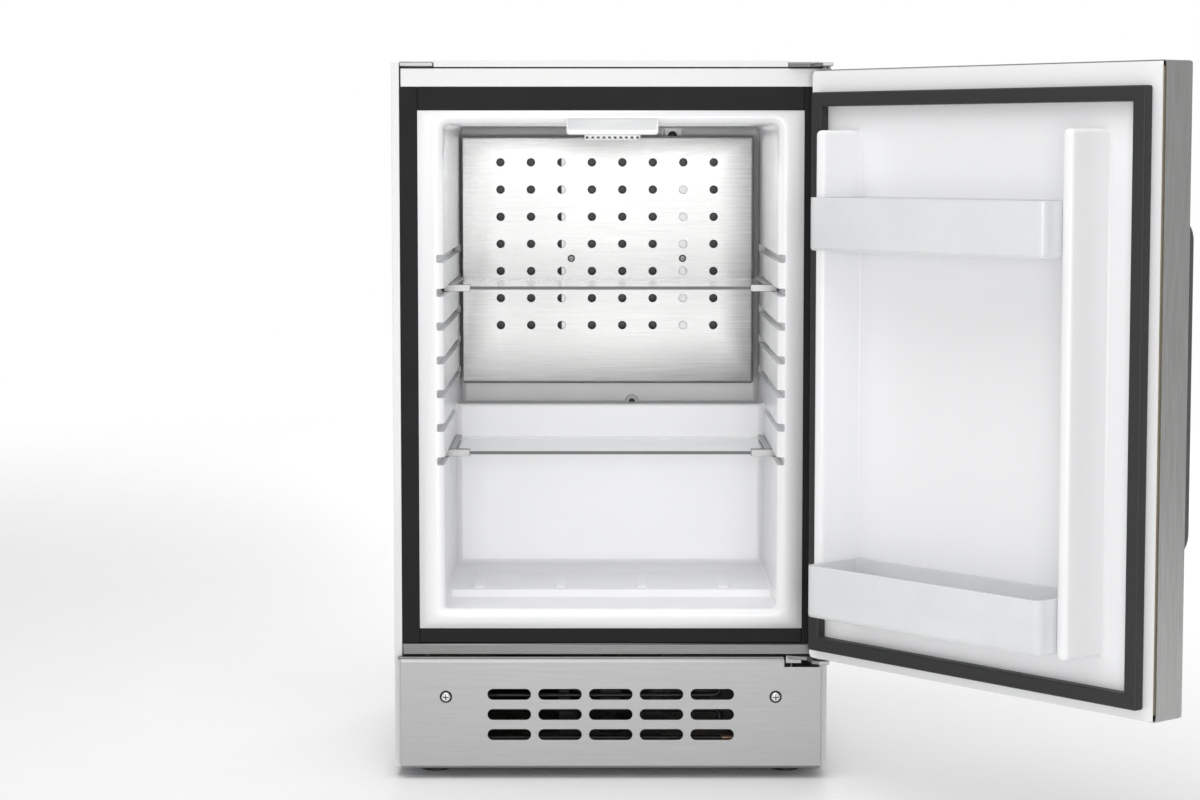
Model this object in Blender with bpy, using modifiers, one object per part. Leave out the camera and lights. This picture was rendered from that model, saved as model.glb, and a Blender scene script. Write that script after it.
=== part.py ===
"""Undercounter mini fridge with its door open.

Metres, +Z up, the front faces -Y.  The world origin is the middle of the base pan's underside.
Shapes are written in the cabinet's own frame, whose Y runs back from the cabinet's front plane.
"""

import math

import bmesh
import bpy
from mathutils import Matrix, Vector

# Overall sizes
WIDTH = 0.500
HEIGHT = 0.813
DEPTH = 0.480
SHEET = 0.0012
GAP = 0.0003

# Front frame, from the outside in
SIDE_FLANGE = 0.009
LID_EDGE = 0.0072
TOP_RAIL = 0.0222
STRIP_SIDE = 0.020
STRIP_TOP = 0.0262
STRIP_BOTTOM = 0.0167
STRIP_DEEP = 0.012
BOTTOM_RAIL = 0.014
PLINTH = 0.130

# Liner and cavity
LINER_WALL = 0.002
LIP_SIDE = 0.0294
LIP_TOP = 0.0152
LIP_BOTTOM = 0.0227
CAVITY_DEPTH = 0.410
GUTTER_DEPTH = 0.085
FLOOR_RISE = 0.009
STEP_DEEP = 0.118
STEP_HEIGHT = 0.212
STEP_LIP = 0.008
TROUGH_DEPTH = 0.008
GROOVE_COUNT = 7
GROOVE_PITCH = 0.0388
GROOVE_DEEP = 0.009
GROOVE_HEIGHT = 0.0095
LOWEST_RUNNER = 0.1735

# Machine compartment behind and below the step
STEP_FOAM = 0.036
MACHINE_CEILING = 0.043

# Evaporator and its cover
COVER_FROM_BACK = 0.042
COVER_RETURN = 0.030
COVER_TOP_GAP = 0.0117
COVER_BOTTOM_GAP = 0.0276
COVER_LEFT_GAP = 0.0033
COVER_RIGHT_GAP = 0.0101
HOLE_RADIUS = 0.0051
HOLE_PITCH_X = 0.0386
HOLE_PITCH_Z = 0.0344
HOLE_ROW_TOP = 0.0333
HOLE_EDGE = 0.036
HOLE_ROWS = 7
COVER_SCREW_RIGHT = 0.0924
COVER_SCREW_LEFT = -0.0488
BRACKET_WIDTH = 0.025
EVAPORATOR_SHEET = 0.0035

# Shelves
RAIL_HEIGHT = 0.008
RAIL_PLAY = 0.0025
RAIL_WIDTH = 0.0135
CLIP_WIDTH = 0.031
CLIP_DEEP = 0.013
GLASS = 0.004
GLASS_GRIP = 0.0065
UPPER_SHELF_FROM_BACK = 0.065
UPPER_SHELF_DEEP = 0.220
UPPER_SHELF_ROW = 5
LOWER_SHELF_FROM_STEP = 0.012
LOWER_SHELF_DEEP = 0.180
LOWER_SHELF_ROW = 0

# Door and hinge
DOOR_ANGLE = 130.0
DOOR_THICK = 0.048
DOOR_STANDOFF = 0.014
DOOR_TOP_GAP = 0.004
DOOR_BOTTOM_GAP = 0.002
PIN_FROM_SIDE = 0.008
PIN_AHEAD = 0.028
PIN_RADIUS = 0.0032
PIN_PLAY = 0.0002
BUSH_WALL = 0.0015
BUSH_LENGTH = 0.011
PIN_LENGTH = 0.012
CORNER_WIDTH = 0.0386
CORNER_DEEP = 0.045
HINGE_PLATE = 0.004
GASKET_WIDTH = 0.016
DYKE_THICK = 0.014
DYKE_REACH = 0.045
DYKE_CLEAR = 0.007
BIN_HEIGHT = 0.058
BIN_REACH = 0.070
BIN_WALL = 0.0025
BIN_CLEAR = 0.0006

# Lamp and thermostat housing
HOUSING_X = 0.0017
HOUSING_WIDTH = 0.1044
HOUSING_DEEP = 0.112
KNOB_Y = 0.096

# Machine compartment fittings
DRAIN_X = 0.0286
DRAIN_FROM_BACK = 0.038
DRAIN_RADIUS = 0.0060
COMPRESSOR_X = -0.095
FAN_Y = 0.130
FAN_Z = 0.062
CONDENSER_Y = 0.075
CONDENSER_X0 = -0.160
CONDENSER_X1 = 0.150
CORD_X = 0.150
CORD_Z = 0.060
CORD_RADIUS = 0.009

# Kick plate
KICK_SIDE_GAP = 0.0045
KICK_AHEAD = 0.0142
KICK_RETURN = 0.0125
KICK_TOP_GAP = 0.003
SLOT_LENGTH = 0.050
SLOT_HEIGHT = 0.0126
SLOT_PITCH_X = 0.0585
SLOT_PITCH_Z = 0.0235
SLOT_COLUMNS = 5
SLOT_ROWS = 3
SLOT_TOP_ROW = 0.0866
KICK_SCREW_X = 0.190
KICK_SCREW_Z = 0.0838
SCREW_HEAD = 0.0072

# Feet
FOOT_RADIUS = 0.017
FOOT_HEIGHT = 0.012
FOOT_STUD = 0.004
FOOT_INSET = 0.045

# Levels and planes worked out from the sizes above
HALF = WIDTH / 2
STEP_FRONT = CAVITY_DEPTH - STEP_DEEP
DRAIN_Y = CAVITY_DEPTH - DRAIN_FROM_BACK
FLANGE_X = HALF - SIDE_FLANGE
FRAME_X = FLANGE_X - GAP
LIP_X = FRAME_X - STRIP_SIDE - GAP
CAVITY_X = LIP_X - LIP_SIDE
TOP_RAIL_TOP = HEIGHT - LID_EDGE - GAP
TOP_RAIL_BOTTOM = TOP_RAIL_TOP - TOP_RAIL
STRIP_TOP_Z = TOP_RAIL_BOTTOM - GAP
LIP_TOP_Z = STRIP_TOP_Z - STRIP_TOP - GAP
BOTTOM_RAIL_TOP = PLINTH + BOTTOM_RAIL
STRIP_BOTTOM_Z = BOTTOM_RAIL_TOP + GAP
LIP_BOTTOM_Z = STRIP_BOTTOM_Z + STRIP_BOTTOM + GAP
CEILING = LIP_TOP_Z - LIP_TOP
GUTTER = LIP_BOTTOM_Z + LIP_BOTTOM
FLOOR = GUTTER + FLOOR_RISE
STEP_TOP = GUTTER + STEP_HEIGHT
TROUGH = STEP_TOP - TROUGH_DEPTH
FOAM_X = HALF - SHEET - GAP
FOAM_BACK = DEPTH - SHEET - GAP
FOAM_FRONT = LINER_WALL + GAP
MACHINE_FRONT = STEP_FRONT + STEP_FOAM
MACHINE_TOP = TROUGH - MACHINE_CEILING
COVER_FRONT = CAVITY_DEPTH - COVER_FROM_BACK
COVER_BACK = COVER_FRONT + SHEET
KICK_TOP = PLINTH - KICK_TOP_GAP
KICK_X = HALF - KICK_SIDE_GAP
PIN_X = HALF - PIN_FROM_SIDE
DOOR_BACK = -DOOR_STANDOFF
DOOR_FRONT = DOOR_BACK - DOOR_THICK
DOOR_TOP = TOP_RAIL_TOP - DOOR_TOP_GAP
DOOR_BOTTOM = PLINTH + DOOR_BOTTOM_GAP

bodies = {}
finishes = {}


def scene_setup():
    """Empties the scene and makes the two collections."""
    for item in list(bpy.data.objects):
        bpy.data.objects.remove(item)
    for name in ("mini_fridge", "cutters"):
        bpy.context.scene.collection.children.link(bpy.data.collections.new(name))


def finish(name, color, roughness, metallic=0.0, alpha=1.0):
    """A Principled material, made once for each name."""
    made = bpy.data.materials.new(name)
    made.use_nodes = True
    shader = made.node_tree.nodes["Principled BSDF"]
    shader.inputs["Base Color"].default_value = (*color, 1.0)
    shader.inputs["Roughness"].default_value = roughness
    shader.inputs["Metallic"].default_value = metallic
    shader.inputs["Alpha"].default_value = alpha
    finishes[name] = made


def body(name, place=(0, 0, 0), parent="cabinet", turn=0.0):
    """An empty on a joint's axis; place is in the cabinet's frame with the door shut."""
    empty = bpy.data.objects.new(name + "_axis", None)
    bpy.data.collections["mini_fridge"].objects.link(empty)
    home = Vector(place)
    if bodies:
        empty.parent = bodies[parent]["empty"]
        empty.location = home - bodies[parent]["home"]
    else:
        empty.location = (0, -DEPTH / 2, 0)
    empty.rotation_euler.z = math.radians(turn)
    bodies[name] = {"empty": empty, "home": home}


def place_on(obj, owner, coating):
    """Links a finished object, gives it its material and hangs it on its body's empty."""
    bpy.data.collections["mini_fridge"].objects.link(obj)
    obj.data.materials.append(finishes[coating])
    obj.parent = bodies[owner]["empty"]
    obj.location = obj.location - bodies[owner]["home"]
    return obj


def cutter(mesh, name):
    """A hidden object that other objects' Boolean modifiers use; it shares the cabinet's frame."""
    obj = bpy.data.objects.new(name, mesh)
    bpy.data.collections["cutters"].objects.link(obj)
    obj.parent = bodies["cabinet"]["empty"]
    obj.hide_render = True
    obj.display_type = "WIRE"
    return obj


def boolean(obj, other, operation="DIFFERENCE"):
    """Adds a live Boolean modifier; other is a cutter object in the same frame."""
    modifier = obj.modifiers.new(other.name, "BOOLEAN")
    modifier.operation = operation
    modifier.object = other


def mesh_from(bm, name):
    mesh = bpy.data.meshes.new(name)
    bmesh.ops.recalc_face_normals(bm, faces=bm.faces)
    bm.to_mesh(mesh)
    bm.free()
    return mesh


def add_box(bm, low, high):
    """Adds a box between two corners to a bmesh and returns its vertices."""
    low, high = Vector(low), Vector(high)
    matrix = Matrix.Translation((low + high) / 2) @ Matrix.Diagonal((*(high - low), 1.0))
    return bmesh.ops.create_cube(bm, size=1.0, matrix=matrix)["verts"]


def boxes(name, corner_pairs):
    """A mesh of one or more boxes."""
    bm = bmesh.new()
    for low, high in corner_pairs:
        add_box(bm, low, high)
    return mesh_from(bm, name)


def box(name, low, high, coating, owner="cabinet", round_edges=0.0):
    """A block sub-part, with its edges bevelled if asked."""
    obj = place_on(bpy.data.objects.new(name, boxes(name, [(low, high)])), owner, coating)
    if round_edges:
        bevel(obj, round_edges)
    return obj


def bevel(obj, width, segments=1):
    modifier = obj.modifiers.new("Bevel", "BEVEL")
    modifier.width = width
    modifier.segments = segments
    modifier.limit_method = "ANGLE"


def tray(name, low, high, open_sides, coating, owner="cabinet", wall=SHEET):
    """A folded sheet shell: a box without the sides named in open_sides, thickened inwards."""
    bm = bmesh.new()
    add_box(bm, low, high)
    bmesh.ops.recalc_face_normals(bm, faces=bm.faces)
    gone = [f for f in bm.faces if any(f.normal.dot(Vector(side)) > 0.9 for side in open_sides)]
    bmesh.ops.delete(bm, geom=gone, context="FACES")
    mesh = bpy.data.meshes.new(name)
    bm.to_mesh(mesh)
    bm.free()
    obj = place_on(bpy.data.objects.new(name, mesh), owner, coating)
    solidify = obj.modifiers.new("Sheet", "SOLIDIFY")
    solidify.thickness = wall
    solidify.offset = -1.0
    solidify.use_even_offset = True
    return obj


FACING_FRONT = Matrix(((1, 0, 0, 0), (0, 0, -1, 0), (0, 1, 0, 0), (0, 0, 0, 1)))
FACING_SIDE = Matrix(((0, 0, 1, 0), (1, 0, 0, 0), (0, 1, 0, 0), (0, 0, 0, 1)))
FACING_UP = Matrix.Identity(4)


def plate_mesh(name, outlines, thickness, facing, centre):
    """A flat outline, with its holes as further outlines, as a solid plate centred on a plane."""
    curve = bpy.data.curves.new(name, "CURVE")
    curve.dimensions = "2D"
    curve.fill_mode = "BOTH"
    curve.extrude = thickness / 2
    for outline in outlines:
        spline = curve.splines.new("POLY")
        spline.points.add(len(outline) - 1)
        for point, (u, v) in zip(spline.points, outline):
            point.co = (u, v, 0, 1)
        spline.use_cyclic_u = True
    return curve_mesh(curve, name, Matrix.Translation(centre) @ facing)


def curve_mesh(curve, name, matrix):
    """The curve as a closed mesh in the cabinet's frame; the curve itself is removed."""
    source = bpy.data.objects.new(name + "_curve", curve)
    bpy.context.scene.collection.objects.link(source)
    graph = bpy.context.evaluated_depsgraph_get()
    mesh = bpy.data.meshes.new_from_object(source.evaluated_get(graph))
    bpy.data.objects.remove(source)
    bpy.data.curves.remove(curve)
    bm = bmesh.new()
    bm.from_mesh(mesh)
    bmesh.ops.remove_doubles(bm, verts=bm.verts, dist=1e-6)
    bmesh.ops.recalc_face_normals(bm, faces=bm.faces)
    bm.to_mesh(mesh)
    bm.free()
    mesh.transform(matrix)
    mesh.name = name
    return mesh


def plate(name, outlines, thickness, facing, centre, coating, owner="cabinet"):
    mesh = plate_mesh(name, outlines, thickness, facing, centre)
    return place_on(bpy.data.objects.new(name, mesh), owner, coating)


def tube(name, points, radius, coating, owner="cabinet"):
    """A round rod or pipe along points."""
    curve = bpy.data.curves.new(name, "CURVE")
    curve.dimensions = "3D"
    curve.bevel_depth = radius
    curve.bevel_resolution = 2
    curve.use_fill_caps = True
    spline = curve.splines.new("POLY")
    spline.points.add(len(points) - 1)
    for point, co in zip(spline.points, points):
        point.co = (*co, 1)
    mesh = curve_mesh(curve, name, Matrix.Identity(4))
    mesh.shade_smooth()
    mesh.set_sharp_from_angle(angle=math.radians(40))
    return place_on(bpy.data.objects.new(name, mesh), owner, coating)


def turned(name, profile, place, coating, owner="cabinet", axis="up", steps=16, closed=False):
    """A turned sub-part; profile is (radius, height) from top to bottom, axis is up or front."""
    mesh = bpy.data.meshes.new(name)
    edges = [(i, i + 1) for i in range(len(profile) - 1)]
    if closed:
        edges.append((len(profile) - 1, 0))
    mesh.from_pydata([(r, 0, h) for r, h in profile], edges, [])
    obj = bpy.data.objects.new(name, mesh)
    obj.location = place
    if axis == "front":
        obj.rotation_euler.x = math.pi / 2
    place_on(obj, owner, coating)
    screw = obj.modifiers.new("Turn", "SCREW")
    screw.steps = steps
    screw.render_steps = steps
    screw.use_merge_vertices = True
    screw.merge_threshold = 1e-5
    screw.use_smooth_shade = False
    return obj


def rod_mesh(name, centre, radius, length, axis="Z", sides=16):
    """A cylinder mesh centred on a point, along Z, Y or X."""
    turn = {"Z": Matrix.Identity(4), "Y": Matrix.Rotation(math.pi / 2, 4, "X"),
            "X": Matrix.Rotation(math.pi / 2, 4, "Y")}[axis]
    bm = bmesh.new()
    bmesh.ops.create_cone(
        bm, cap_ends=True, segments=sides, radius1=radius, radius2=radius, depth=length,
        matrix=Matrix.Translation(centre) @ turn,
    )
    return mesh_from(bm, name)


def joined(name, meshes):
    """Several meshes as one, for a cutter that holds them all."""
    bm = bmesh.new()
    for mesh in meshes:
        bm.from_mesh(mesh)
    return mesh_from(bm, name)


def circle(x, z, radius, sides):
    return [
        (x + radius * math.cos(2 * math.pi * i / sides), z + radius * math.sin(2 * math.pi * i / sides))
        for i in range(sides)
    ]


def rectangle(x0, x1, z0, z1):
    return [(x0, z0), (x1, z0), (x1, z1), (x0, z1)]


def slot(x, z, length, height, corner_steps=3):
    """A slot with round ends, centred on x and z."""
    radius = height / 2
    points = []
    for side, start in ((1, -90), (-1, 90)):
        for i in range(corner_steps + 1):
            angle = math.radians(start + 180 * i / corner_steps)
            points.append((x + side * (length / 2 - radius) + radius * math.cos(angle),
                           z + radius * math.sin(angle)))
    return points


def rounded_path(points, radius, steps=4):
    """A path whose inner corners are arcs of the given radius."""
    path = [Vector(points[0])]
    for before, corner, after in zip(points, points[1:], points[2:]):
        before, corner, after = Vector(before), Vector(corner), Vector(after)
        into, out = (before - corner).normalized(), (after - corner).normalized()
        half = into.angle(out) / 2
        if half > math.radians(89):
            continue
        centre = corner + (into + out).normalized() * (radius / math.sin(half))
        first = (corner + into * (radius / math.tan(half)) - centre).normalized()
        last = (corner + out * (radius / math.tan(half)) - centre).normalized()
        for i in range(steps + 1):
            path.append(centre + radius * first.slerp(last, i / steps))
    path.append(Vector(points[-1]))
    return path


def cabinet_shell():
    """Folded side panels, lid, rear panel, machine cover and base pan."""
    side_top = HEIGHT - 0.002
    tray("side_panel_left", (-HALF, 0, 0), (-FLANGE_X, DEPTH, side_top), [(1, 0, 0), (0, 0, -1)],
         "white_steel")
    tray("side_panel_right", (FLANGE_X, 0, 0), (HALF, DEPTH, side_top), [(-1, 0, 0), (0, 0, -1)],
         "white_steel")
    lid = tray("top_panel", (-FRAME_X, 0, HEIGHT - LID_EDGE), (FRAME_X, DEPTH, HEIGHT),
               [(0, 0, -1)], "white_steel")
    notch, past = FRAME_X - CORNER_WIDTH - 0.0005, FRAME_X + 0.01
    corners = [((x, -0.01, HEIGHT - 0.02), (x + past - notch, CORNER_DEEP + 0.0005, HEIGHT + 0.01))
               for x in (-past, notch)]
    boolean(lid, cutter(boxes("lid_corners", corners), "lid_corners"))
    box("rear_panel", (-FRAME_X, DEPTH - SHEET, MACHINE_TOP + GAP),
        (FRAME_X, DEPTH, HEIGHT - LID_EDGE - GAP), "grey_steel")
    machine_cover()
    base_pan()


def machine_cover():
    """Slotted steel cover over the compressor at the back."""
    outlines = [rectangle(-FRAME_X, FRAME_X, SHEET + GAP, MACHINE_TOP)]
    columns, rows = 5, 6
    for column in range(columns):
        for row in range(rows):
            x = (column - (columns - 1) / 2) * 0.070
            outlines.append(rectangle(x - 0.025, x + 0.025, 0.180 + row * 0.020, 0.188 + row * 0.020))
    outlines.append(circle(CORD_X, CORD_Z, CORD_RADIUS + GAP, 16))
    plate("machine_cover", outlines, SHEET, FACING_FRONT, (0, DEPTH - SHEET / 2, 0), "grey_steel")
    turned("cord_inlet", [(0, 0.009), (CORD_RADIUS * 0.7, 0.009), (CORD_RADIUS, 0.004),
                          (CORD_RADIUS, -0.012), (0, -0.012)],
           (CORD_X, DEPTH - 0.001, CORD_Z), "black_plastic").rotation_euler.x = -math.pi / 2


def feet_places():
    front, back = FOOT_INSET, DEPTH - FOOT_INSET
    for name, side, y in (("front_left", -1, front), ("front_right", 1, front),
                          ("rear_left", -1, back), ("rear_right", 1, back)):
        yield name, (side * (HALF - FOOT_INSET), y)


def base_pan():
    """Steel floor of the machine compartment, with its edges turned up and two kick plate tabs."""
    pan = tray("base_pan", (-FOAM_X, SHEET + 2 * GAP, 0), (FOAM_X, DEPTH - SHEET - 2 * GAP, 0.014),
               [(0, 0, 1)], "grey_steel")
    tab_half = 0.014
    for side in (-1, 1):
        low = (side * KICK_SCREW_X - tab_half, SHEET + 2 * GAP, 0.010)
        high = (side * KICK_SCREW_X + tab_half, 2 * SHEET + 2 * GAP, KICK_SCREW_Z + tab_half)
        name = "kick_tab_" + ("left" if side < 0 else "right")
        boolean(pan, cutter(boxes(name, [(low, high)]), name), "UNION")
    holes = [rod_mesh("hole", (x, y, 0), FOOT_STUD + GAP, 0.01) for _, (x, y) in feet_places()]
    holes += [rod_mesh("hole", (side * KICK_SCREW_X, 0, KICK_SCREW_Z), 0.0028, 0.02, "Y", 12)
              for side in (-1, 1)]
    boolean(pan, cutter(joined("pan_holes", holes), "pan_holes"))


def feet():
    """Screw-in levelling feet through the base pan."""
    profile = [(0, 0.030), (FOOT_STUD, 0.030), (FOOT_STUD, -0.003), (FOOT_RADIUS, -0.004),
               (FOOT_RADIUS, -FOOT_HEIGHT), (0, -FOOT_HEIGHT)]
    for name, (x, y) in feet_places():
        body("foot_" + name, (x, y, 0))
        turned("levelling_foot_" + name, profile, (x, y, 0), "black_plastic", "foot_" + name)


def front_frame():
    """White top rail, black breaker strips and the stainless bottom rail round the opening."""
    box("front_top_rail", (-FRAME_X, 0, TOP_RAIL_BOTTOM), (FRAME_X, STRIP_DEEP, TOP_RAIL_TOP),
        "white_steel", round_edges=0.001)
    box("front_bottom_rail", (-FRAME_X, -0.002, PLINTH), (FRAME_X, STRIP_DEEP, BOTTOM_RAIL_TOP),
        "stainless", round_edges=0.001)
    inner = FRAME_X - STRIP_SIDE
    for name, low_x, high_x in (("left", -FRAME_X, -inner), ("right", inner, FRAME_X)):
        box("breaker_strip_" + name, (low_x, 0, STRIP_BOTTOM_Z), (high_x, STRIP_DEEP, STRIP_TOP_Z),
            "black_plastic", round_edges=0.001)
    for name, low_z, high_z in (("top", STRIP_TOP_Z - STRIP_TOP, STRIP_TOP_Z),
                                ("bottom", STRIP_BOTTOM_Z, STRIP_BOTTOM_Z + STRIP_BOTTOM)):
        box("breaker_strip_" + name, (-LIP_X, 0, low_z), (LIP_X, STRIP_DEEP, high_z),
            "black_plastic", round_edges=0.001)


def runner_top(row):
    """Height of the shelf seat of a runner row, counted up from the lowest."""
    return GUTTER + LOWEST_RUNNER + row * GROOVE_PITCH


def cavity(name, grow, front):
    """The cavity's air as a cutter: its side profile with the compressor step, and the runner
    grooves as full-width bars.  grow pushes every wall outwards; the trough's 3:4 slope moves
    half as far back as it moves down, which keeps the wall's thickness there."""
    profile = [
        (front, GUTTER - grow), (GUTTER_DEPTH + grow, GUTTER - grow),
        (GUTTER_DEPTH + 0.005 + grow, FLOOR - grow), (STEP_FRONT - 0.004 + grow, FLOOR + 0.003 - grow),
        (STEP_FRONT + grow, STEP_TOP - grow), (STEP_FRONT + STEP_LIP - grow / 2, STEP_TOP - grow),
        (STEP_FRONT + STEP_LIP + 0.75 * TROUGH_DEPTH - grow / 2, TROUGH - grow),
        (CAVITY_DEPTH + grow, TROUGH - grow),
        (CAVITY_DEPTH + grow, CEILING + grow), (front, CEILING + grow),
    ]
    half = CAVITY_X + grow
    core = cutter(plate_mesh(name, [profile], 2 * half, FACING_SIDE, (0, 0, 0)), name)
    bars = []
    for row in range(GROOVE_COUNT):
        seat = runner_top(row)
        back = STEP_FRONT - 0.010 if seat < STEP_TOP + GROOVE_HEIGHT else CAVITY_DEPTH - 0.015
        reach = CAVITY_X + GROOVE_DEEP + grow
        bars.append(((-reach, front + 0.0005, seat - GROOVE_HEIGHT + 0.0022 - grow),
                     (reach, back + grow, seat + 0.0022 + grow)))
    boolean(core, cutter(boxes(name + "_grooves", bars), name + "_grooves"), "UNION")
    return core


def liner_and_foam():
    """Vacuum-formed liner with its lip, and the foam between it and the outer sheets."""
    drain = (DRAIN_X, DRAIN_Y, TROUGH)
    drain_hole = cutter(rod_mesh("drain_hole", drain, DRAIN_RADIUS + GAP, 0.2), "drain_hole")
    outer = cavity("liner_outside", LINER_WALL, 0.001)
    air = cavity("cavity_air", 0.0, -0.020)
    pocket = cavity("foam_pocket", LINER_WALL + GAP, -0.020)
    liner = box("inner_liner", (-LIP_X, 0, LIP_BOTTOM_Z), (LIP_X, LINER_WALL, LIP_TOP_Z), "liner_white")
    boolean(liner, outer, "UNION")
    boolean(liner, air)
    boolean(liner, drain_hole)
    profile = [(FOAM_FRONT, PLINTH), (MACHINE_FRONT, PLINTH), (MACHINE_FRONT, MACHINE_TOP),
               (FOAM_BACK, MACHINE_TOP), (FOAM_BACK, TOP_RAIL_TOP - GAP), (FOAM_FRONT, TOP_RAIL_TOP - GAP)]
    foam = plate("foam_insulation", [profile], 2 * FOAM_X, FACING_SIDE, (0, 0, 0), "foam")
    rebate = [rectangle(-HALF - 0.01, HALF + 0.01, PLINTH - 0.02, HEIGHT + 0.02),
              rectangle(-LIP_X + GAP, LIP_X - GAP, LIP_BOTTOM_Z + GAP, LIP_TOP_Z - GAP)]
    deep = STRIP_DEEP + GAP
    boolean(foam, cutter(plate_mesh("frame_rebate", rebate, deep + 0.01, FACING_FRONT,
                                    (0, (deep - 0.01) / 2, 0)), "frame_rebate"))
    boolean(foam, pocket)
    boolean(foam, drain_hole)
    turned("drain_bushing", [(0.0036, 0.0022), (0.0085, 0.0016), (0.0085, GAP), (DRAIN_RADIUS, GAP),
                             (DRAIN_RADIUS, -0.150), (0.0036, -0.150)],
           drain, "grey_plastic", steps=16, closed=True)


def evaporator_group():
    """Perforated cover, its screws and brackets, and the evaporator plate on the back wall."""
    x0, x1 = -CAVITY_X + COVER_LEFT_GAP, CAVITY_X - COVER_RIGHT_GAP
    z0, z1 = TROUGH + COVER_BOTTOM_GAP, CEILING - COVER_TOP_GAP
    screw_z = z1 - 4.5 * HOLE_PITCH_Z
    cover = tray("evaporator_cover", (x0, COVER_FRONT, z0), (x1, COVER_FRONT + COVER_RETURN, z1),
                 [(0, 1, 0), (0, 0, 1), (0, 0, -1)], "stainless")
    drills = []
    columns = int((x1 - x0 - 2 * HOLE_EDGE) / HOLE_PITCH_X + 1e-6) + 1
    rows = int((z1 - z0 - HOLE_ROW_TOP - HOLE_EDGE) / HOLE_PITCH_Z + 1e-6) + 1
    middle = (x0 + x1) / 2
    for column in range(columns):
        for row in range(min(rows, HOLE_ROWS)):
            x = middle + (column - (columns - 1) / 2) * HOLE_PITCH_X
            place = (x, COVER_FRONT, z1 - HOLE_ROW_TOP - row * HOLE_PITCH_Z)
            drills.append(rod_mesh("drill", place, HOLE_RADIUS, 0.010, "Y", 8))
    for x in (COVER_SCREW_LEFT, COVER_SCREW_RIGHT):
        drills.append(rod_mesh("drill", (x, COVER_FRONT, screw_z), 0.0024, 0.010, "Y", 8))
    boolean(cover, cutter(joined("cover_drills", drills), "cover_drills"))
    plate_front = CAVITY_DEPTH - 0.014
    low = (x0 + 0.018, plate_front, z0 + 0.012)
    high = (x1 - 0.012, plate_front + EVAPORATOR_SHEET, z1 - 0.012)
    evaporator = box("evaporator", low, high, "aluminium")
    posts = [rod_mesh("post", (x, CAVITY_DEPTH - GAP - 0.006, z), 0.005, 0.012, "Y", 8)
             for x in (low[0] + 0.03, high[0] - 0.03) for z in (low[2] + 0.03, high[2] - 0.03)]
    boolean(evaporator, cutter(joined("evaporator_posts", posts), "evaporator_posts"), "UNION")
    for name, x, drop in (("left", COVER_SCREW_LEFT, 0.016), ("right", COVER_SCREW_RIGHT, 0.050)):
        bracket = box("evaporator_bracket_" + name,
                      (x - BRACKET_WIDTH / 2, COVER_BACK + GAP, z0 + 0.014),
                      (x + BRACKET_WIDTH / 2, plate_front - GAP, z1 - drop), "liner_white")
        hole = rod_mesh("screw_hole_" + name, (x, COVER_BACK, screw_z), 0.0023, 0.020, "Y", 8)
        boolean(bracket, cutter(hole, "screw_hole_" + name))
        turned("cover_screw_" + name, [(0, 0.0024), (0.0030, 0.0020), (0.0042, 0.0006), (0.0042, 0),
                                       (0.0020, 0), (0.0020, -0.009), (0, -0.009)],
               (x, COVER_FRONT - GAP, screw_z), "stainless", axis="front", steps=12)


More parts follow.
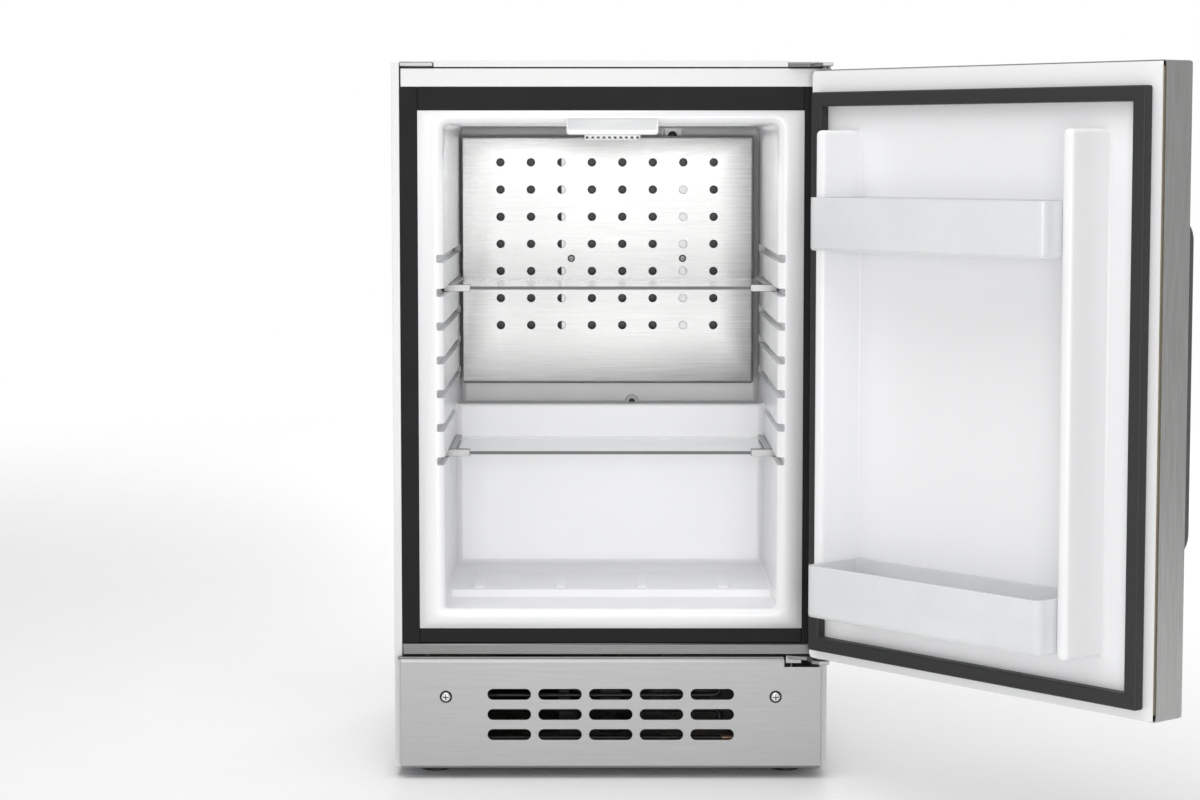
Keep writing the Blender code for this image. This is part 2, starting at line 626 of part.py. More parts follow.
def machine_group():
    """Compressor, evaporation pan, condenser, fan, drier and pipes."""
    x, y = COMPRESSOR_X, (MACHINE_FRONT + DEPTH) / 2
    shell = turned("compressor", [(0, 0.172), (0.030, 0.168), (0.048, 0.150), (0.054, 0.120),
                                  (0.054, 0.100), (0.056, 0.100), (0.056, 0.094), (0.054, 0.094),
                                  (0.054, 0.030), (0.040, 0.010), (0, 0.010)],
                   (x, y, 0), "black_steel", steps=20)
    feet_plate = [((x - 0.075, y - 0.055, 0.008), (x + 0.075, y + 0.055, 0.0115))]
    boolean(shell, cutter(boxes("compressor_plate", feet_plate), "compressor_plate"), "UNION")
    pads = [rod_mesh("pad", (x + dx, y + dy, 0.0055), 0.010, 0.0075, "Z", 10)
            for dx in (-0.062, 0.062) for dy in (-0.042, 0.042)]
    boolean(shell, cutter(joined("compressor_pads", pads), "compressor_pads"), "UNION")
    tray("evaporation_pan", (x - 0.085, y - 0.056, 0.174), (DRAIN_X + 0.040, y + 0.056, 0.200),
         [(0, 0, 1)], "black_plastic", wall=0.002)
    condenser()
    shroud = [rectangle(-0.062, 0.062, SHEET + GAP, 0.122), circle(0, FAN_Z, 0.050, 20)]
    plate("fan_shroud", shroud, 0.004, FACING_FRONT, (0, FAN_Y, 0), "black_plastic")
    motor = turned("fan_motor", [(0, 0.014), (0.016, 0.014), (0.018, 0.010), (0.018, -0.014),
                                 (0, -0.014)],
                   (0, FAN_Y + 0.032, FAN_Z), "black_steel", axis="front", steps=14)
    spider = [((-0.058, FAN_Y + 0.034, FAN_Z - 0.004), (0.058, FAN_Y + 0.038, FAN_Z + 0.004))]
    legs = [((side * 0.056 - 0.002, FAN_Y + 0.002 + GAP, FAN_Z - 0.004),
             (side * 0.056 + 0.002, FAN_Y + 0.036, FAN_Z + 0.004)) for side in (-1, 1)]
    boolean(motor, cutter(boxes("motor_spider", spider), "motor_spider"), "UNION")
    boolean(motor, cutter(boxes("motor_legs", legs), "motor_legs"), "UNION")
    fan_blade()
    drier_x = COMPRESSOR_X + 0.215
    turned("filter_drier", [(0, 0.055), (0.003, 0.055), (0.009, 0.042), (0.009, -0.042),
                            (0.003, -0.055), (0, -0.055)],
           (drier_x, y, 0.140), "copper", steps=12)
    tube("suction_pipe", rounded_path([(x + 0.0562, y + 0.020, 0.060), (x + 0.115, y + 0.020, 0.060),
                                       (x + 0.115, y + 0.060, 0.060), (x + 0.160, y + 0.060, 0.060),
                                       (x + 0.160, y + 0.060, MACHINE_TOP - GAP)], 0.014), 0.004, "copper")
    drop = CONDENSER_X1 + 0.010
    route = [(x + 0.030, y - 0.0500, 0.060), (x + 0.030, y - 0.120, 0.060), (drop, y - 0.120, 0.060),
             (drop, CONDENSER_Y, 0.060), (drop, CONDENSER_Y, 0.018), (CONDENSER_X1 - 0.018, CONDENSER_Y, 0.018)]
    tube("discharge_pipe", rounded_path(route, 0.010), 0.0028, "copper")


def condenser():
    """Serpentine tube behind the grille."""
    passes, pitch, low = 6, 0.017, 0.018
    points = []
    for i in range(passes):
        z = low + i * pitch
        ends = [(CONDENSER_X0, CONDENSER_Y, z), (CONDENSER_X1 - 0.020, CONDENSER_Y, z)]
        points += ends if i % 2 else ends[::-1]
    tube("condenser_coil", rounded_path(points, pitch / 2 - 0.0002, 3), 0.0030, "black_steel")


def fan_blade():
    """Hub and five pitched blades on the fan's axis."""
    body("fan", (0, FAN_Y, FAN_Z))
    blade = turned("fan_blade", [(0, 0.012), (0.013, 0.012), (0.015, 0.008), (0.015, -0.012),
                                 (0, -0.012)], (0, FAN_Y, FAN_Z), "black_plastic", "fan",
                   axis="front", steps=15)
    bm = bmesh.new()
    for i in range(5):
        around = Matrix.Rotation(2 * math.pi * i / 5, 4, "Y")
        pitch = Matrix.Rotation(math.radians(32), 4, "Z")
        size = Matrix.Diagonal((0.024, 0.0016, 0.034, 1.0))
        shift = Matrix.Translation((0, 0, 0.029))
        matrix = Matrix.Translation((0, FAN_Y, FAN_Z)) @ around @ shift @ pitch @ size
        bmesh.ops.create_cube(bm, size=1.0, matrix=matrix)
    boolean(blade, cutter(mesh_from(bm, "fan_blades"), "fan_blades"), "UNION")


def control_group():
    """Lamp and thermostat housing on the ceiling, its slotted cover, the lamp and the dial."""
    face_top, bottom = CEILING + 0.006, CEILING - 0.012
    profile = [(-0.0040, face_top), (-0.0040, bottom), (HOUSING_DEEP, bottom),
               (HOUSING_DEEP, CEILING - GAP), (-GAP, CEILING - GAP), (-GAP, face_top)]
    housing = plate("control_housing", [profile], HOUSING_WIDTH, FACING_SIDE, (HOUSING_X, 0, 0),
                    "grey_plastic")
    lamp_low, lamp_high = HOUSING_X - 0.0280, HOUSING_X + 0.0280
    pocket = [((lamp_low, 0.016, bottom - 0.01), (lamp_high, 0.072, bottom + 0.0095))]
    boolean(housing, cutter(boxes("lamp_pocket", pocket), "lamp_pocket"))
    cover = tray("lamp_cover", (lamp_low - 0.004, 0.008, bottom - 0.0060),
                 (lamp_high + 0.004, 0.080, bottom - GAP), [(0, 0, 1)], "diffuser", wall=0.0012)
    slits, pitch = 8, 0.0068
    cuts = [((HOUSING_X + (i - (slits - 1) / 2) * pitch - 0.0015, 0.004, bottom - 0.0045),
             (HOUSING_X + (i - (slits - 1) / 2) * pitch + 0.0015, 0.012, bottom - 0.0015))
            for i in range(slits)]
    boolean(cover, cutter(boxes("diffuser_slits", cuts), "diffuser_slits"))
    lamp = bpy.data.objects.new(
        "lamp", rod_mesh("lamp", (HOUSING_X, 0.044, bottom + 0.0035), 0.0040, 0.044, "X", 12))
    place_on(lamp, "cabinet", "diffuser")
    body("knob", (HOUSING_X, KNOB_Y, bottom))
    turned("thermostat_knob", [(0, -GAP), (0.0090, -GAP), (0.0100, -0.0012), (0.0092, -0.0052),
                               (0, -0.0052)], (HOUSING_X, KNOB_Y, bottom), "liner_white", "knob", steps=18)


def hinges():
    """Corner brackets with their pins, and the cover on the unused corner."""
    z0 = TOP_RAIL_TOP + GAP
    inner, edge = FRAME_X - CORNER_WIDTH, HALF - 0.0005
    top = [(inner, CORNER_DEEP), (inner, -0.003), (PIN_X - 0.016, -0.012), (PIN_X - 0.012, -0.034),
           (PIN_X - 0.004, -0.040), (edge, -0.040), (edge, -0.0006), (FRAME_X, -0.0006),
           (FRAME_X, CORNER_DEEP)]
    bracket = plate("hinge_bracket_top", [top], HINGE_PLATE, FACING_UP, (0, 0, z0 + HINGE_PLATE / 2),
                    "hinge_steel")
    pin = rod_mesh("top_pin", (PIN_X, -PIN_AHEAD, z0 - PIN_LENGTH / 2 + 0.001), PIN_RADIUS,
                   PIN_LENGTH + 0.002, "Z", 14)
    boolean(bracket, cutter(pin, "top_pin"), "UNION")
    z1 = PLINTH - GAP
    low = [(inner, 0.030)] + top[1:-1] + [(FRAME_X, 0.030)]
    lower = plate("hinge_bracket_bottom", [low], HINGE_PLATE, FACING_UP,
                  (0, 0, z1 - HINGE_PLATE / 2), "hinge_steel")
    leg = [((inner, -0.0040, KICK_TOP - 0.0060), (PIN_X - 0.022, -0.0010, z1 - 0.001))]
    boolean(lower, cutter(boxes("bottom_leg", leg), "bottom_leg"), "UNION")
    pin = rod_mesh("bottom_pin", (PIN_X, -PIN_AHEAD, z1 + PIN_LENGTH / 2 - 0.001), PIN_RADIUS,
                   PIN_LENGTH + 0.002, "Z", 14)
    boolean(lower, cutter(pin, "bottom_pin"), "UNION")
    box("spare_hinge_cover", (-FRAME_X, -0.001, z0), (-inner, CORNER_DEEP, z0 + 0.006), "hinge_steel",
        round_edges=0.0008)


def kick_plate():
    """Stainless grille in front of the plinth, notched for the lower hinge, with its two screws."""
    top = KICK_TOP
    notch_x, notch_z = FRAME_X - CORNER_WIDTH - 0.002, top - 0.0085
    outline = [(-KICK_X, 0), (KICK_X, 0), (KICK_X, notch_z), (notch_x, notch_z), (notch_x, top),
               (-KICK_X, top)]
    outlines = [outline]
    for column in range(SLOT_COLUMNS):
        for row in range(SLOT_ROWS):
            x = (column - (SLOT_COLUMNS - 1) / 2) * SLOT_PITCH_X
            outlines.append(slot(x, SLOT_TOP_ROW - row * SLOT_PITCH_Z, SLOT_LENGTH, SLOT_HEIGHT))
    for side in (-1, 1):
        outlines.append(circle(side * KICK_SCREW_X, KICK_SCREW_Z, 0.0028, 10))
    front = -KICK_AHEAD
    plate_obj = plate("kick_plate", outlines, SHEET, FACING_FRONT, (0, front + SHEET / 2, 0), "stainless")
    back = front + KICK_RETURN
    folds = [((-KICK_X, front + SHEET / 2, top - SHEET), (notch_x, back, top)),
             ((-KICK_X, front + SHEET / 2, 0), (KICK_X, back, SHEET))]
    boolean(plate_obj, cutter(boxes("kick_folds", folds), "kick_folds"), "UNION")
    for name, side in (("left", -1), ("right", 1)):
        turned("kick_screw_" + name, [(0, 0.0034), (0.0040, 0.0030), (SCREW_HEAD, 0.0008), (SCREW_HEAD, 0),
                                      (0.0025, 0), (0.0025, -0.024), (0, -0.024)],
               (side * KICK_SCREW_X, front - GAP, KICK_SCREW_Z), "stainless", axis="front", steps=14)


def shelf(name, row, back, deep):
    """Glass shelf between two rails that ride in a pair of runner grooves."""
    front = back - deep
    seat = runner_top(row)
    top = seat - GROOVE_HEIGHT + 0.0022 + GAP + RAIL_HEIGHT
    middle = top - RAIL_HEIGHT / 2
    outer = CAVITY_X + GROOVE_DEEP - RAIL_PLAY
    owner = "shelf_" + name
    body(owner, (0, front, middle))
    inner = outer - RAIL_WIDTH
    glass_x = inner + GLASS_GRIP
    box(owner + "_glass", (-glass_x, front + 0.0015, middle - GLASS / 2),
        (glass_x, back - 0.0015, middle + GLASS / 2), "glass", owner)
    slot_box = [((-glass_x - GAP, front + 0.0015 - GAP, middle - GLASS / 2 - GAP),
                 (glass_x + GAP, back + 0.01, middle + GLASS / 2 + GAP))]
    for side_name, side in (("left", -1), ("right", 1)):
        outline = [(side * outer, front), (side * (outer - CLIP_WIDTH), front),
                   (side * (outer - CLIP_WIDTH), front + CLIP_DEEP), (side * inner, front + CLIP_DEEP),
                   (side * inner, back), (side * outer, back)]
        rail = plate(owner + "_rail_" + side_name, [outline], RAIL_HEIGHT, FACING_UP, (0, 0, middle),
                     "grey_plastic", owner)
        cut_name = owner + "_glass_slot_" + side_name
        boolean(rail, cutter(boxes(cut_name, slot_box), cut_name))


def door():
    """Door leaf, modelled shut and turned open about its pins."""
    body("door", (PIN_X, -PIN_AHEAD, 0), turn=DOOR_ANGLE)
    top, bottom = DOOR_TOP, DOOR_BOTTOM
    outer = tray("door_outer_panel", (-HALF, DOOR_FRONT, bottom), (HALF, DOOR_BACK - LINER_WALL - GAP, top),
                 [(0, 1, 0)], "stainless", "door")
    foam = box("door_foam", (-FOAM_X, DOOR_FRONT + SHEET + GAP, bottom + SHEET + GAP),
               (FOAM_X, DOOR_BACK - LINER_WALL - 2 * GAP, top - SHEET - GAP), "foam", "door")
    bush = PIN_RADIUS + PIN_PLAY + BUSH_WALL
    bores = [rod_mesh("bore", (PIN_X, -PIN_AHEAD, z), bush + GAP, 2 * PIN_LENGTH + 0.004, "Z", 14)
             for z in (top, bottom)]
    bores = door_cutter(joined("pin_bores", bores), "pin_bores")
    boolean(outer, bores)
    boolean(foam, bores)
    for name, z, way in (("top", top, 1), ("bottom", bottom, -1)):
        ring = [(bush - BUSH_WALL, 0.0015), (bush + 0.0015, 0.0015), (bush + 0.0015, GAP), (bush, GAP),
                (bush, -BUSH_LENGTH), (bush - BUSH_WALL, -BUSH_LENGTH)]
        turned("hinge_bush_" + name, ring, (PIN_X, -PIN_AHEAD, z), "grey_plastic", "door", closed=True,
               steps=14).rotation_euler.x = 0 if way > 0 else math.pi
    lip = SHEET + GAP
    dyke_out = CAVITY_X - DYKE_CLEAR
    dyke_in = dyke_out - DYKE_THICK
    liner = box("door_liner", (-HALF + lip, DOOR_BACK - LINER_WALL, bottom + lip),
                (HALF - lip, DOOR_BACK, top - lip), "liner_white", "door")
    dykes = [((side * (dyke_in + dyke_out) / 2 - DYKE_THICK / 2, DOOR_BACK - LINER_WALL / 2, GUTTER + 0.009),
              (side * (dyke_in + dyke_out) / 2 + DYKE_THICK / 2, DYKE_REACH, CEILING - 0.008))
             for side in (-1, 1)]
    boolean(liner, door_cutter(boxes("door_dykes", dykes), "door_dykes"), "UNION")
    gasket_x = FRAME_X - 0.0027
    z0, z1 = STRIP_BOTTOM_Z + 0.0005, LIP_TOP_Z + 0.0197
    hole_x = gasket_x - GASKET_WIDTH
    ring = [rectangle(-gasket_x, gasket_x, z0, z1),
            rectangle(-hole_x, hole_x, z0 + GASKET_WIDTH, z1 - GASKET_WIDTH)]
    thick = DOOR_STANDOFF - 0.001 - GAP
    plate("door_gasket", ring, thick, FACING_FRONT, (0, DOOR_BACK + GAP + thick / 2, 0), "gasket", "door")
    grip_x, reach = -HALF + 0.035, DOOR_FRONT - 0.038
    grip_low, grip_high = DOOR_BOTTOM + 0.165, DOOR_BOTTOM + 0.505
    tube("door_handle", rounded_path([(grip_x, DOOR_FRONT - GAP, grip_high), (grip_x, reach, grip_high),
                                      (grip_x, reach, grip_low), (grip_x, DOOR_FRONT - GAP, grip_low)],
                                     0.018, 5), 0.0065, "stainless", "door")
    for name, low in (("upper", CEILING - 0.139), ("lower", GUTTER + 0.0142)):
        owner = "bin_" + name
        body(owner, (0, DOOR_BACK, low), parent="door")
        half = dyke_in - BIN_CLEAR
        tray("door_bin_" + name, (-half, DOOR_BACK + 2 * GAP, low), (half, BIN_REACH, low + BIN_HEIGHT),
             [(0, 0, 1)], "bin_clear", owner, wall=BIN_WALL)


def door_cutter(mesh, name):
    """A cutter that turns with the door."""
    obj = cutter(mesh, name)
    obj.parent = bodies["door"]["empty"]
    obj.location = -bodies["door"]["home"]
    return obj


def main():
    scene_setup()
    finish("white_steel", (0.86, 0.86, 0.85), 0.35)
    finish("grey_steel", (0.55, 0.56, 0.57), 0.45, 0.8)
    finish("black_steel", (0.03, 0.03, 0.03), 0.4)
    finish("stainless", (0.62, 0.62, 0.61), 0.32, 1.0)
    finish("hinge_steel", (0.45, 0.45, 0.45), 0.35, 1.0)
    finish("liner_white", (0.87, 0.87, 0.88), 0.25)
    finish("black_plastic", (0.03, 0.03, 0.03), 0.4)
    finish("grey_plastic", (0.65, 0.66, 0.67), 0.35)
    finish("diffuser", (0.95, 0.95, 0.95), 0.3)
    finish("bin_clear", (0.88, 0.88, 0.89), 0.2)
    finish("foam", (0.85, 0.78, 0.55), 0.9)
    finish("glass", (0.80, 0.88, 0.86), 0.05, 0.0, 0.35)
    finish("aluminium", (0.75, 0.75, 0.76), 0.35, 1.0)
    finish("copper", (0.72, 0.42, 0.28), 0.3, 1.0)
    finish("gasket", (0.05, 0.05, 0.05), 0.7)
    body("cabinet")
    cabinet_shell()
    feet()
    front_frame()
    liner_and_foam()
    evaporator_group()
    machine_group()
    control_group()
    hinges()
    kick_plate()
    shelf("upper", UPPER_SHELF_ROW, CAVITY_DEPTH - UPPER_SHELF_FROM_BACK, UPPER_SHELF_DEEP)
    shelf("lower", LOWER_SHELF_ROW, STEP_FRONT - LOWER_SHELF_FROM_STEP, LOWER_SHELF_DEEP)
    door()


main()
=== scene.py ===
import bpy
import bmesh
from math import cos, pi, radians, sin
from mathutils import Matrix, Vector


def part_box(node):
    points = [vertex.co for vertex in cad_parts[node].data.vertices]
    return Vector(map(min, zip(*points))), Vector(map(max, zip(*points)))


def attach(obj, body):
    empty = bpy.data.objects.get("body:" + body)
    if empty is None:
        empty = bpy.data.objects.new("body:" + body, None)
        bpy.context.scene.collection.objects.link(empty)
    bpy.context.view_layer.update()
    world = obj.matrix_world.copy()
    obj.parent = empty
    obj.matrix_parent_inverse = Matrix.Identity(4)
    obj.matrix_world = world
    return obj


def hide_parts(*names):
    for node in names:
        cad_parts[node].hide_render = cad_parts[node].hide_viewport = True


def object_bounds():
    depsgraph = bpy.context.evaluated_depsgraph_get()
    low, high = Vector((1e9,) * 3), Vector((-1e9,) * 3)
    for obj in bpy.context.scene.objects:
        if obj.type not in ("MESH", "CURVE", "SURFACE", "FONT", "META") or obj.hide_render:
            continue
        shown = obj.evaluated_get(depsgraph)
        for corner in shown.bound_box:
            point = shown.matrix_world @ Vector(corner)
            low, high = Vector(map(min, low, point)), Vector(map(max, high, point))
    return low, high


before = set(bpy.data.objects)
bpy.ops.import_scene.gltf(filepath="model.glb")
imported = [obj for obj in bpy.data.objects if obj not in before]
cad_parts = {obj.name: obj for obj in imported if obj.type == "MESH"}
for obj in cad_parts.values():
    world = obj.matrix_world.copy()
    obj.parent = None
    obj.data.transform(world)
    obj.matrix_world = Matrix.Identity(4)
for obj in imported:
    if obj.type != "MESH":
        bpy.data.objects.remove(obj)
cad_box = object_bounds()
scene = bpy.context.scene

# Studio. Soft boxes stand in front, high in front, overhead and behind, in a white room, and a narrow
# one inside the mouth fills the cabinet; the pale floor fades into the room. The camera looks straight
# in, a little downwards.
CAMERA_DIP = 4.93
scene.view_settings.view_transform = "Standard"
eye = bpy.data.cameras.new("eye")
eye.sensor_width = 36.0
eye.lens = 86.6
camera = bpy.data.objects.new("eye", eye)
camera.location = (-0.0124, -3.540, 0.7106)
camera.rotation_euler = (radians(90 - CAMERA_DIP), 0, 0)
scene.collection.objects.link(camera)
scene.camera = camera

room = bpy.data.worlds.new("white_room")
scene.world = room
room.use_nodes = True
air = room.node_tree.nodes["Background"]
air.inputs["Color"].default_value = (1.0, 1.0, 1.0, 1.0)
seen = room.node_tree.nodes.new("ShaderNodeLightPath")
level = room.node_tree.nodes.new("ShaderNodeMapRange")
level.inputs["To Min"].default_value = 0.49
level.inputs["To Max"].default_value = 1.0
room.node_tree.links.new(seen.outputs["Is Camera Ray"], level.inputs["Value"])
room.node_tree.links.new(level.outputs["Result"], air.inputs["Strength"])

for name, place, turn, wide, high, watts in (
        ("front_box", (0.0, -4.2, 0.48), (90, 0, 0), 1.5, 1.4, 39),
        ("top_box", (-0.5, -0.8, 3.2), (15, -8, 0), 2.6, 2.2, 44),
        ("rear_box", (0.8, 4.0, 1.4), (-78, 0, -10), 3.0, 2.0, 60),
        ("high_box", (0.0, -2.9, 2.7), (52, 0, 0), 2.2, 1.2, 13),
        ("mouth_fill", (0.0, -0.228, 0.714), (42, 0, 0), 0.32, 0.04, 0.17)):
    lamp_data = bpy.data.lights.new(name, "AREA")
    lamp_data.shape = "RECTANGLE"
    lamp_data.size = wide
    lamp_data.size_y = high
    lamp_data.energy = watts
    soft_box = bpy.data.objects.new(name, lamp_data)
    soft_box.location = place
    soft_box.visible_camera = False
    soft_box.rotation_euler = [radians(angle) for angle in turn]
    scene.collection.objects.link(soft_box)


class Shade:
    """A number that runs through a finish's nodes; its operators add Math nodes."""

    def __init__(self, finish, socket):
        self.finish = finish
        self.socket = socket

    def _math(self, operation, first, second):
        return self.finish.add("ShaderNodeMath", {"operation": operation}, {0: first, 1: second})

    def __add__(self, other):
        return self._math("ADD", self, other)

    def __sub__(self, other):
        return self._math("SUBTRACT", self, other)

    def __rsub__(self, other):
        return self._math("SUBTRACT", other, self)

    def __mul__(self, other):
        return self._math("MULTIPLY", self, other)

    def __gt__(self, other):
        return self._math("GREATER_THAN", self, other)

    __radd__ = __add__
    __rmul__ = __mul__


class Finish:
    """A material in the making, with the shader that it ends in."""

    def __init__(self, name, **constants):
        self.material = bpy.data.materials.new(name)
        self.material.use_nodes = True
        self.nodes = self.material.node_tree.nodes
        self.links = self.material.node_tree.links
        self.shader = self.nodes["Principled BSDF"]
        for socket, value in constants.items():
            self.feed(self.shader.inputs[socket.replace("_", " ")], value)

    def feed(self, socket, value):
        if isinstance(value, Shade):
            self.links.new(value.socket, socket)
        elif isinstance(value, tuple) and len(value) == 3 and socket.type == "RGBA":
            socket.default_value = (*value, 1.0)
        else:
            socket.default_value = value

    def add(self, kind, settings, values, output=0):
        node = self.nodes.new(kind)
        for key, value in settings.items():
            if key == "stops":
                for stop, (position, colour) in zip(node.color_ramp.elements, value):
                    stop.position = position
                    stop.color = (*colour, 1.0)
            else:
                setattr(node, key, value)
        for key, value in values.items():
            self.feed(node.inputs[key], value)
        return Shade(self, node.outputs[output])

    def place(self, stretch=(1.0, 1.0, 1.0)):
        where = self.add("ShaderNodeTexCoord", {}, {}, "Object")
        return self.add("ShaderNodeMapping", {}, {"Vector": where, "Scale": stretch})

    def noise(self, scale, detail=2.0, stretch=(1.0, 1.0, 1.0)):
        return self.add("ShaderNodeTexNoise", {}, {"Vector": self.place(stretch), "Scale": scale,
                                                   "Detail": detail})

    def blend(self, amount, first, second):
        return self.add("ShaderNodeMix", {"data_type": "RGBA"}, {"Factor": amount, 6: first, 7: second}, 2)

    def coat(self, **values):
        for socket, value in values.items():
            self.feed(self.shader.inputs[socket.replace("_", " ")], value)

    def relief(self, height, depth, strength=1.0):
        bump = self.add("ShaderNodeBump", {}, {"Height": height, "Distance": depth, "Strength": strength})
        self.feed(self.shader.inputs["Normal"], bump)


floor_colour = Finish("pale_floor", Roughness=0.6)
mottle = floor_colour.noise(14.0, 4.0)
floor_colour.coat(Base_Color=floor_colour.blend(mottle, (0.93, 0.93, 0.93), (0.96, 0.96, 0.96)))
reach = floor_colour.add("ShaderNodeVectorMath", {"operation": "LENGTH"},
                         {0: floor_colour.place()}, "Value")
fade = floor_colour.add("ShaderNodeMapRange", {"interpolation_type": "SMOOTHSTEP"},
                        {"Value": reach, "From Min": 1.2, "From Max": 4.5, "To Min": 1.0, "To Max": 0.0})
floor_colour.coat(Alpha=fade)
disc = bmesh.new()
bmesh.ops.create_circle(disc, cap_ends=True, segments=64, radius=5.0)
bmesh.ops.translate(disc, verts=disc.verts, vec=(0, 0, cad_box[0].z))
floor_mesh = bpy.data.meshes.new("studio_floor")
disc.to_mesh(floor_mesh)
floor_mesh.materials.append(floor_colour.material)
studio_floor = bpy.data.objects.new("studio_floor", floor_mesh)
scene.collection.objects.link(studio_floor)

# Base pan of the machine compartment. Galvanised sheet steel, pressed with turned-up edges and two
# tabs for the grille screws; the levelling feet screw up through it.
GALVANISED = (0.50, 0.51, 0.53)


def cad_shape(node):
    """A CAD node's shape as one closed surface with whole flat faces."""
    shape = bmesh.new()
    shape.from_mesh(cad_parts[node].data)
    bmesh.ops.remove_doubles(shape, verts=shape.verts, dist=0.00001)
    bmesh.ops.dissolve_limit(shape, angle_limit=radians(1), verts=shape.verts, edges=shape.edges,
                             delimit={"NORMAL"})
    return shape


def make(name, shape, finishes, body, nodes=(), edge=0.0, wall=0.0, smooth=35, steps=2):
    """Turns a shape into a piece: edge is its rounding, wall the thickness of a bare sheet."""
    mesh = bpy.data.meshes.new(name)
    shape.to_mesh(mesh)
    shape.free()
    for finish in finishes if isinstance(finishes, (list, tuple)) else [finishes]:
        mesh.materials.append(finish)
    mesh.shade_smooth()
    mesh.set_sharp_from_angle(angle=radians(smooth))
    piece = bpy.data.objects.new(name, mesh)
    scene.collection.objects.link(piece)
    if wall:
        sheet = piece.modifiers.new("thickness", "SOLIDIFY")
        sheet.thickness = wall
        sheet.offset = -1.0
        sheet.use_even_offset = True
    if edge:
        rounding = piece.modifiers.new("rounding", "BEVEL")
        rounding.width = edge
        rounding.segments = steps
        rounding.limit_method = "ANGLE"
        rounding.angle_limit = radians(40)
        rounding.harden_normals = True
    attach(piece, body)
    if nodes:
        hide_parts(*nodes)
    return piece


def galvanised(name, colour):
    finish = Finish(name, Metallic=0.85)
    spangle = finish.add("ShaderNodeTexVoronoi", {}, {"Vector": finish.place(), "Scale": 130.0}, "Color")
    flake = finish.add("ShaderNodeSeparateColor", {}, {"Color": spangle}, 0)
    dull = finish.noise(9.0, 4.0)
    dark = tuple(0.84 * part for part in colour)
    finish.coat(Base_Color=finish.blend(flake, dark, colour), Roughness=0.34 + 0.14 * flake + 0.08 * dull)
    finish.relief(flake, 0.00004, 0.4)
    return finish.material


zinc = galvanised("galvanised_steel", GALVANISED)
make("pan_floor", cad_shape("base_pan"), zinc, "cabinet", ["base_pan"], edge=0.0003)

# Levelling feet. Turned from black nylon, with a wide round pad under a threaded stud.
BLACK_NYLON = (0.030, 0.030, 0.031)


def moulded(name, colour, roughness=0.38, grain=0.00002, scale=2600.0, mottled=0.03, **constants):
    """Moulded plastic: an even body colour with a faint flow mottle and a fine grain."""
    finish = Finish(name, **constants)
    flow = finish.noise(22.0, 3.0)
    pits = finish.noise(scale, 2.0)
    dark = tuple(part * (1 - mottled) for part in colour)
    finish.coat(Base_Color=finish.blend(flow, dark, colour),
                Roughness=roughness - 0.05 + 0.10 * flow)
    finish.relief(pits, grain, 0.5)
    return finish.material


nylon = moulded("black_nylon", BLACK_NYLON, 0.45)
for corner in ("front_left", "front_right", "rear_left", "rear_right"):
    make("foot_" + corner, cad_shape("levelling_foot_" + corner), nylon, "foot_" + corner,
         ["levelling_foot_" + corner], edge=0.0006)

# Cabinet sides, lid and their folds. White coil-coated sheet steel, folded over at the front to a
# narrow flange; the lid drops between the sides and is notched at its front corners for the hinges.
WHITE_PAINT = (0.73, 0.73, 0.725)
FOLD_ROUNDING = 0.000384
LID_JOINT = 0.0014
LID_SHADE_BEHIND = 0.0012


def painted(name, colour, roughness=0.30):
    """Baked paint on sheet steel, with the slight orange peel that paint dries to."""
    finish = Finish(name, Coat_Roughness=0.12)
    peel = finish.noise(420.0, 2.0)
    cloud = finish.noise(5.0, 3.0)
    dark = tuple(part * 0.975 for part in colour)
    finish.coat(Base_Color=finish.blend(cloud, dark, colour), Roughness=roughness + 0.08 * cloud,
                Coat_Weight=0.25 + 0.10 * cloud)
    finish.relief(peel, 0.00006, 0.35)
    return finish.material


def block(low, high):
    """A box between its lowest and its highest corner."""
    shape = bmesh.new()
    bmesh.ops.create_cube(shape, size=1.0)
    bmesh.ops.scale(shape, vec=Vector(high) - Vector(low), verts=shape.verts)
    bmesh.ops.translate(shape, vec=(Vector(low) + Vector(high)) / 2, verts=shape.verts)
    return shape


white_paint = painted("white_coil_coat", WHITE_PAINT)
for side in ("left", "right"):
    make("side_skin_" + side, cad_shape("side_panel_" + side), white_paint, "cabinet",
         ["side_panel_" + side], edge=FOLD_ROUNDING)
make("lid", cad_shape("top_panel"), white_paint, "cabinet", ["top_panel"], edge=0.0003)
low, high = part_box("front_top_rail")
rail = block((low.x + LID_JOINT, low.y, low.z), (high.x - LID_JOINT, high.y, high.z - LID_JOINT))
make("top_rail", rail, white_paint, "cabinet", ["front_top_rail"], edge=0.0008, steps=3)
# A black strip behind the rail's lowered top fills the lid joint: painted shade for the dark line of that
# gap.
black_band = block((low.x, low.y + LID_SHADE_BEHIND, low.z + 0.0004), (high.x, high.y - 0.0002, high.z))
make("lid_joint_shade", black_band, nylon, "cabinet", edge=0.0008, steps=3)

# Back of the cabinet. Grey pre-painted sheet closes the foam; a slotted cover screws on below it
# over the compressor, and the moulded mains inlet snaps into that cover.
GREY_PAINT = (0.42, 0.43, 0.44)
grey_paint = painted("grey_back_paint", GREY_PAINT, 0.42)
make("back_sheet", cad_shape("rear_panel"), grey_paint, "cabinet", ["rear_panel"],
     edge=0.0003)
make("slotted_cover", cad_shape("machine_cover"), grey_paint, "cabinet",
     ["machine_cover"], edge=0.0002)
make("mains_inlet", cad_shape("cord_inlet"), nylon, "cabinet", ["cord_inlet"],
     edge=0.0008)

# Breaker strips. Black extruded plastic snapped round the liner's lip, where the door's gasket seals;
# the uprights are rounded off at the top, where the head strip stops a little short of them, and each
# strip has a ledge behind its joints.
BLACK_STRIP = (0.0095, 0.0098, 0.0093)
black_strip = moulded("black_breaker_strip", BLACK_STRIP, 0.42, grain=0.00003, scale=1500.0,
                      Specular_IOR_Level=0.13)
STRIP_TURN = 0.006
STRIP_GAP = 0.0013
STRIP_LEDGE = 0.0020


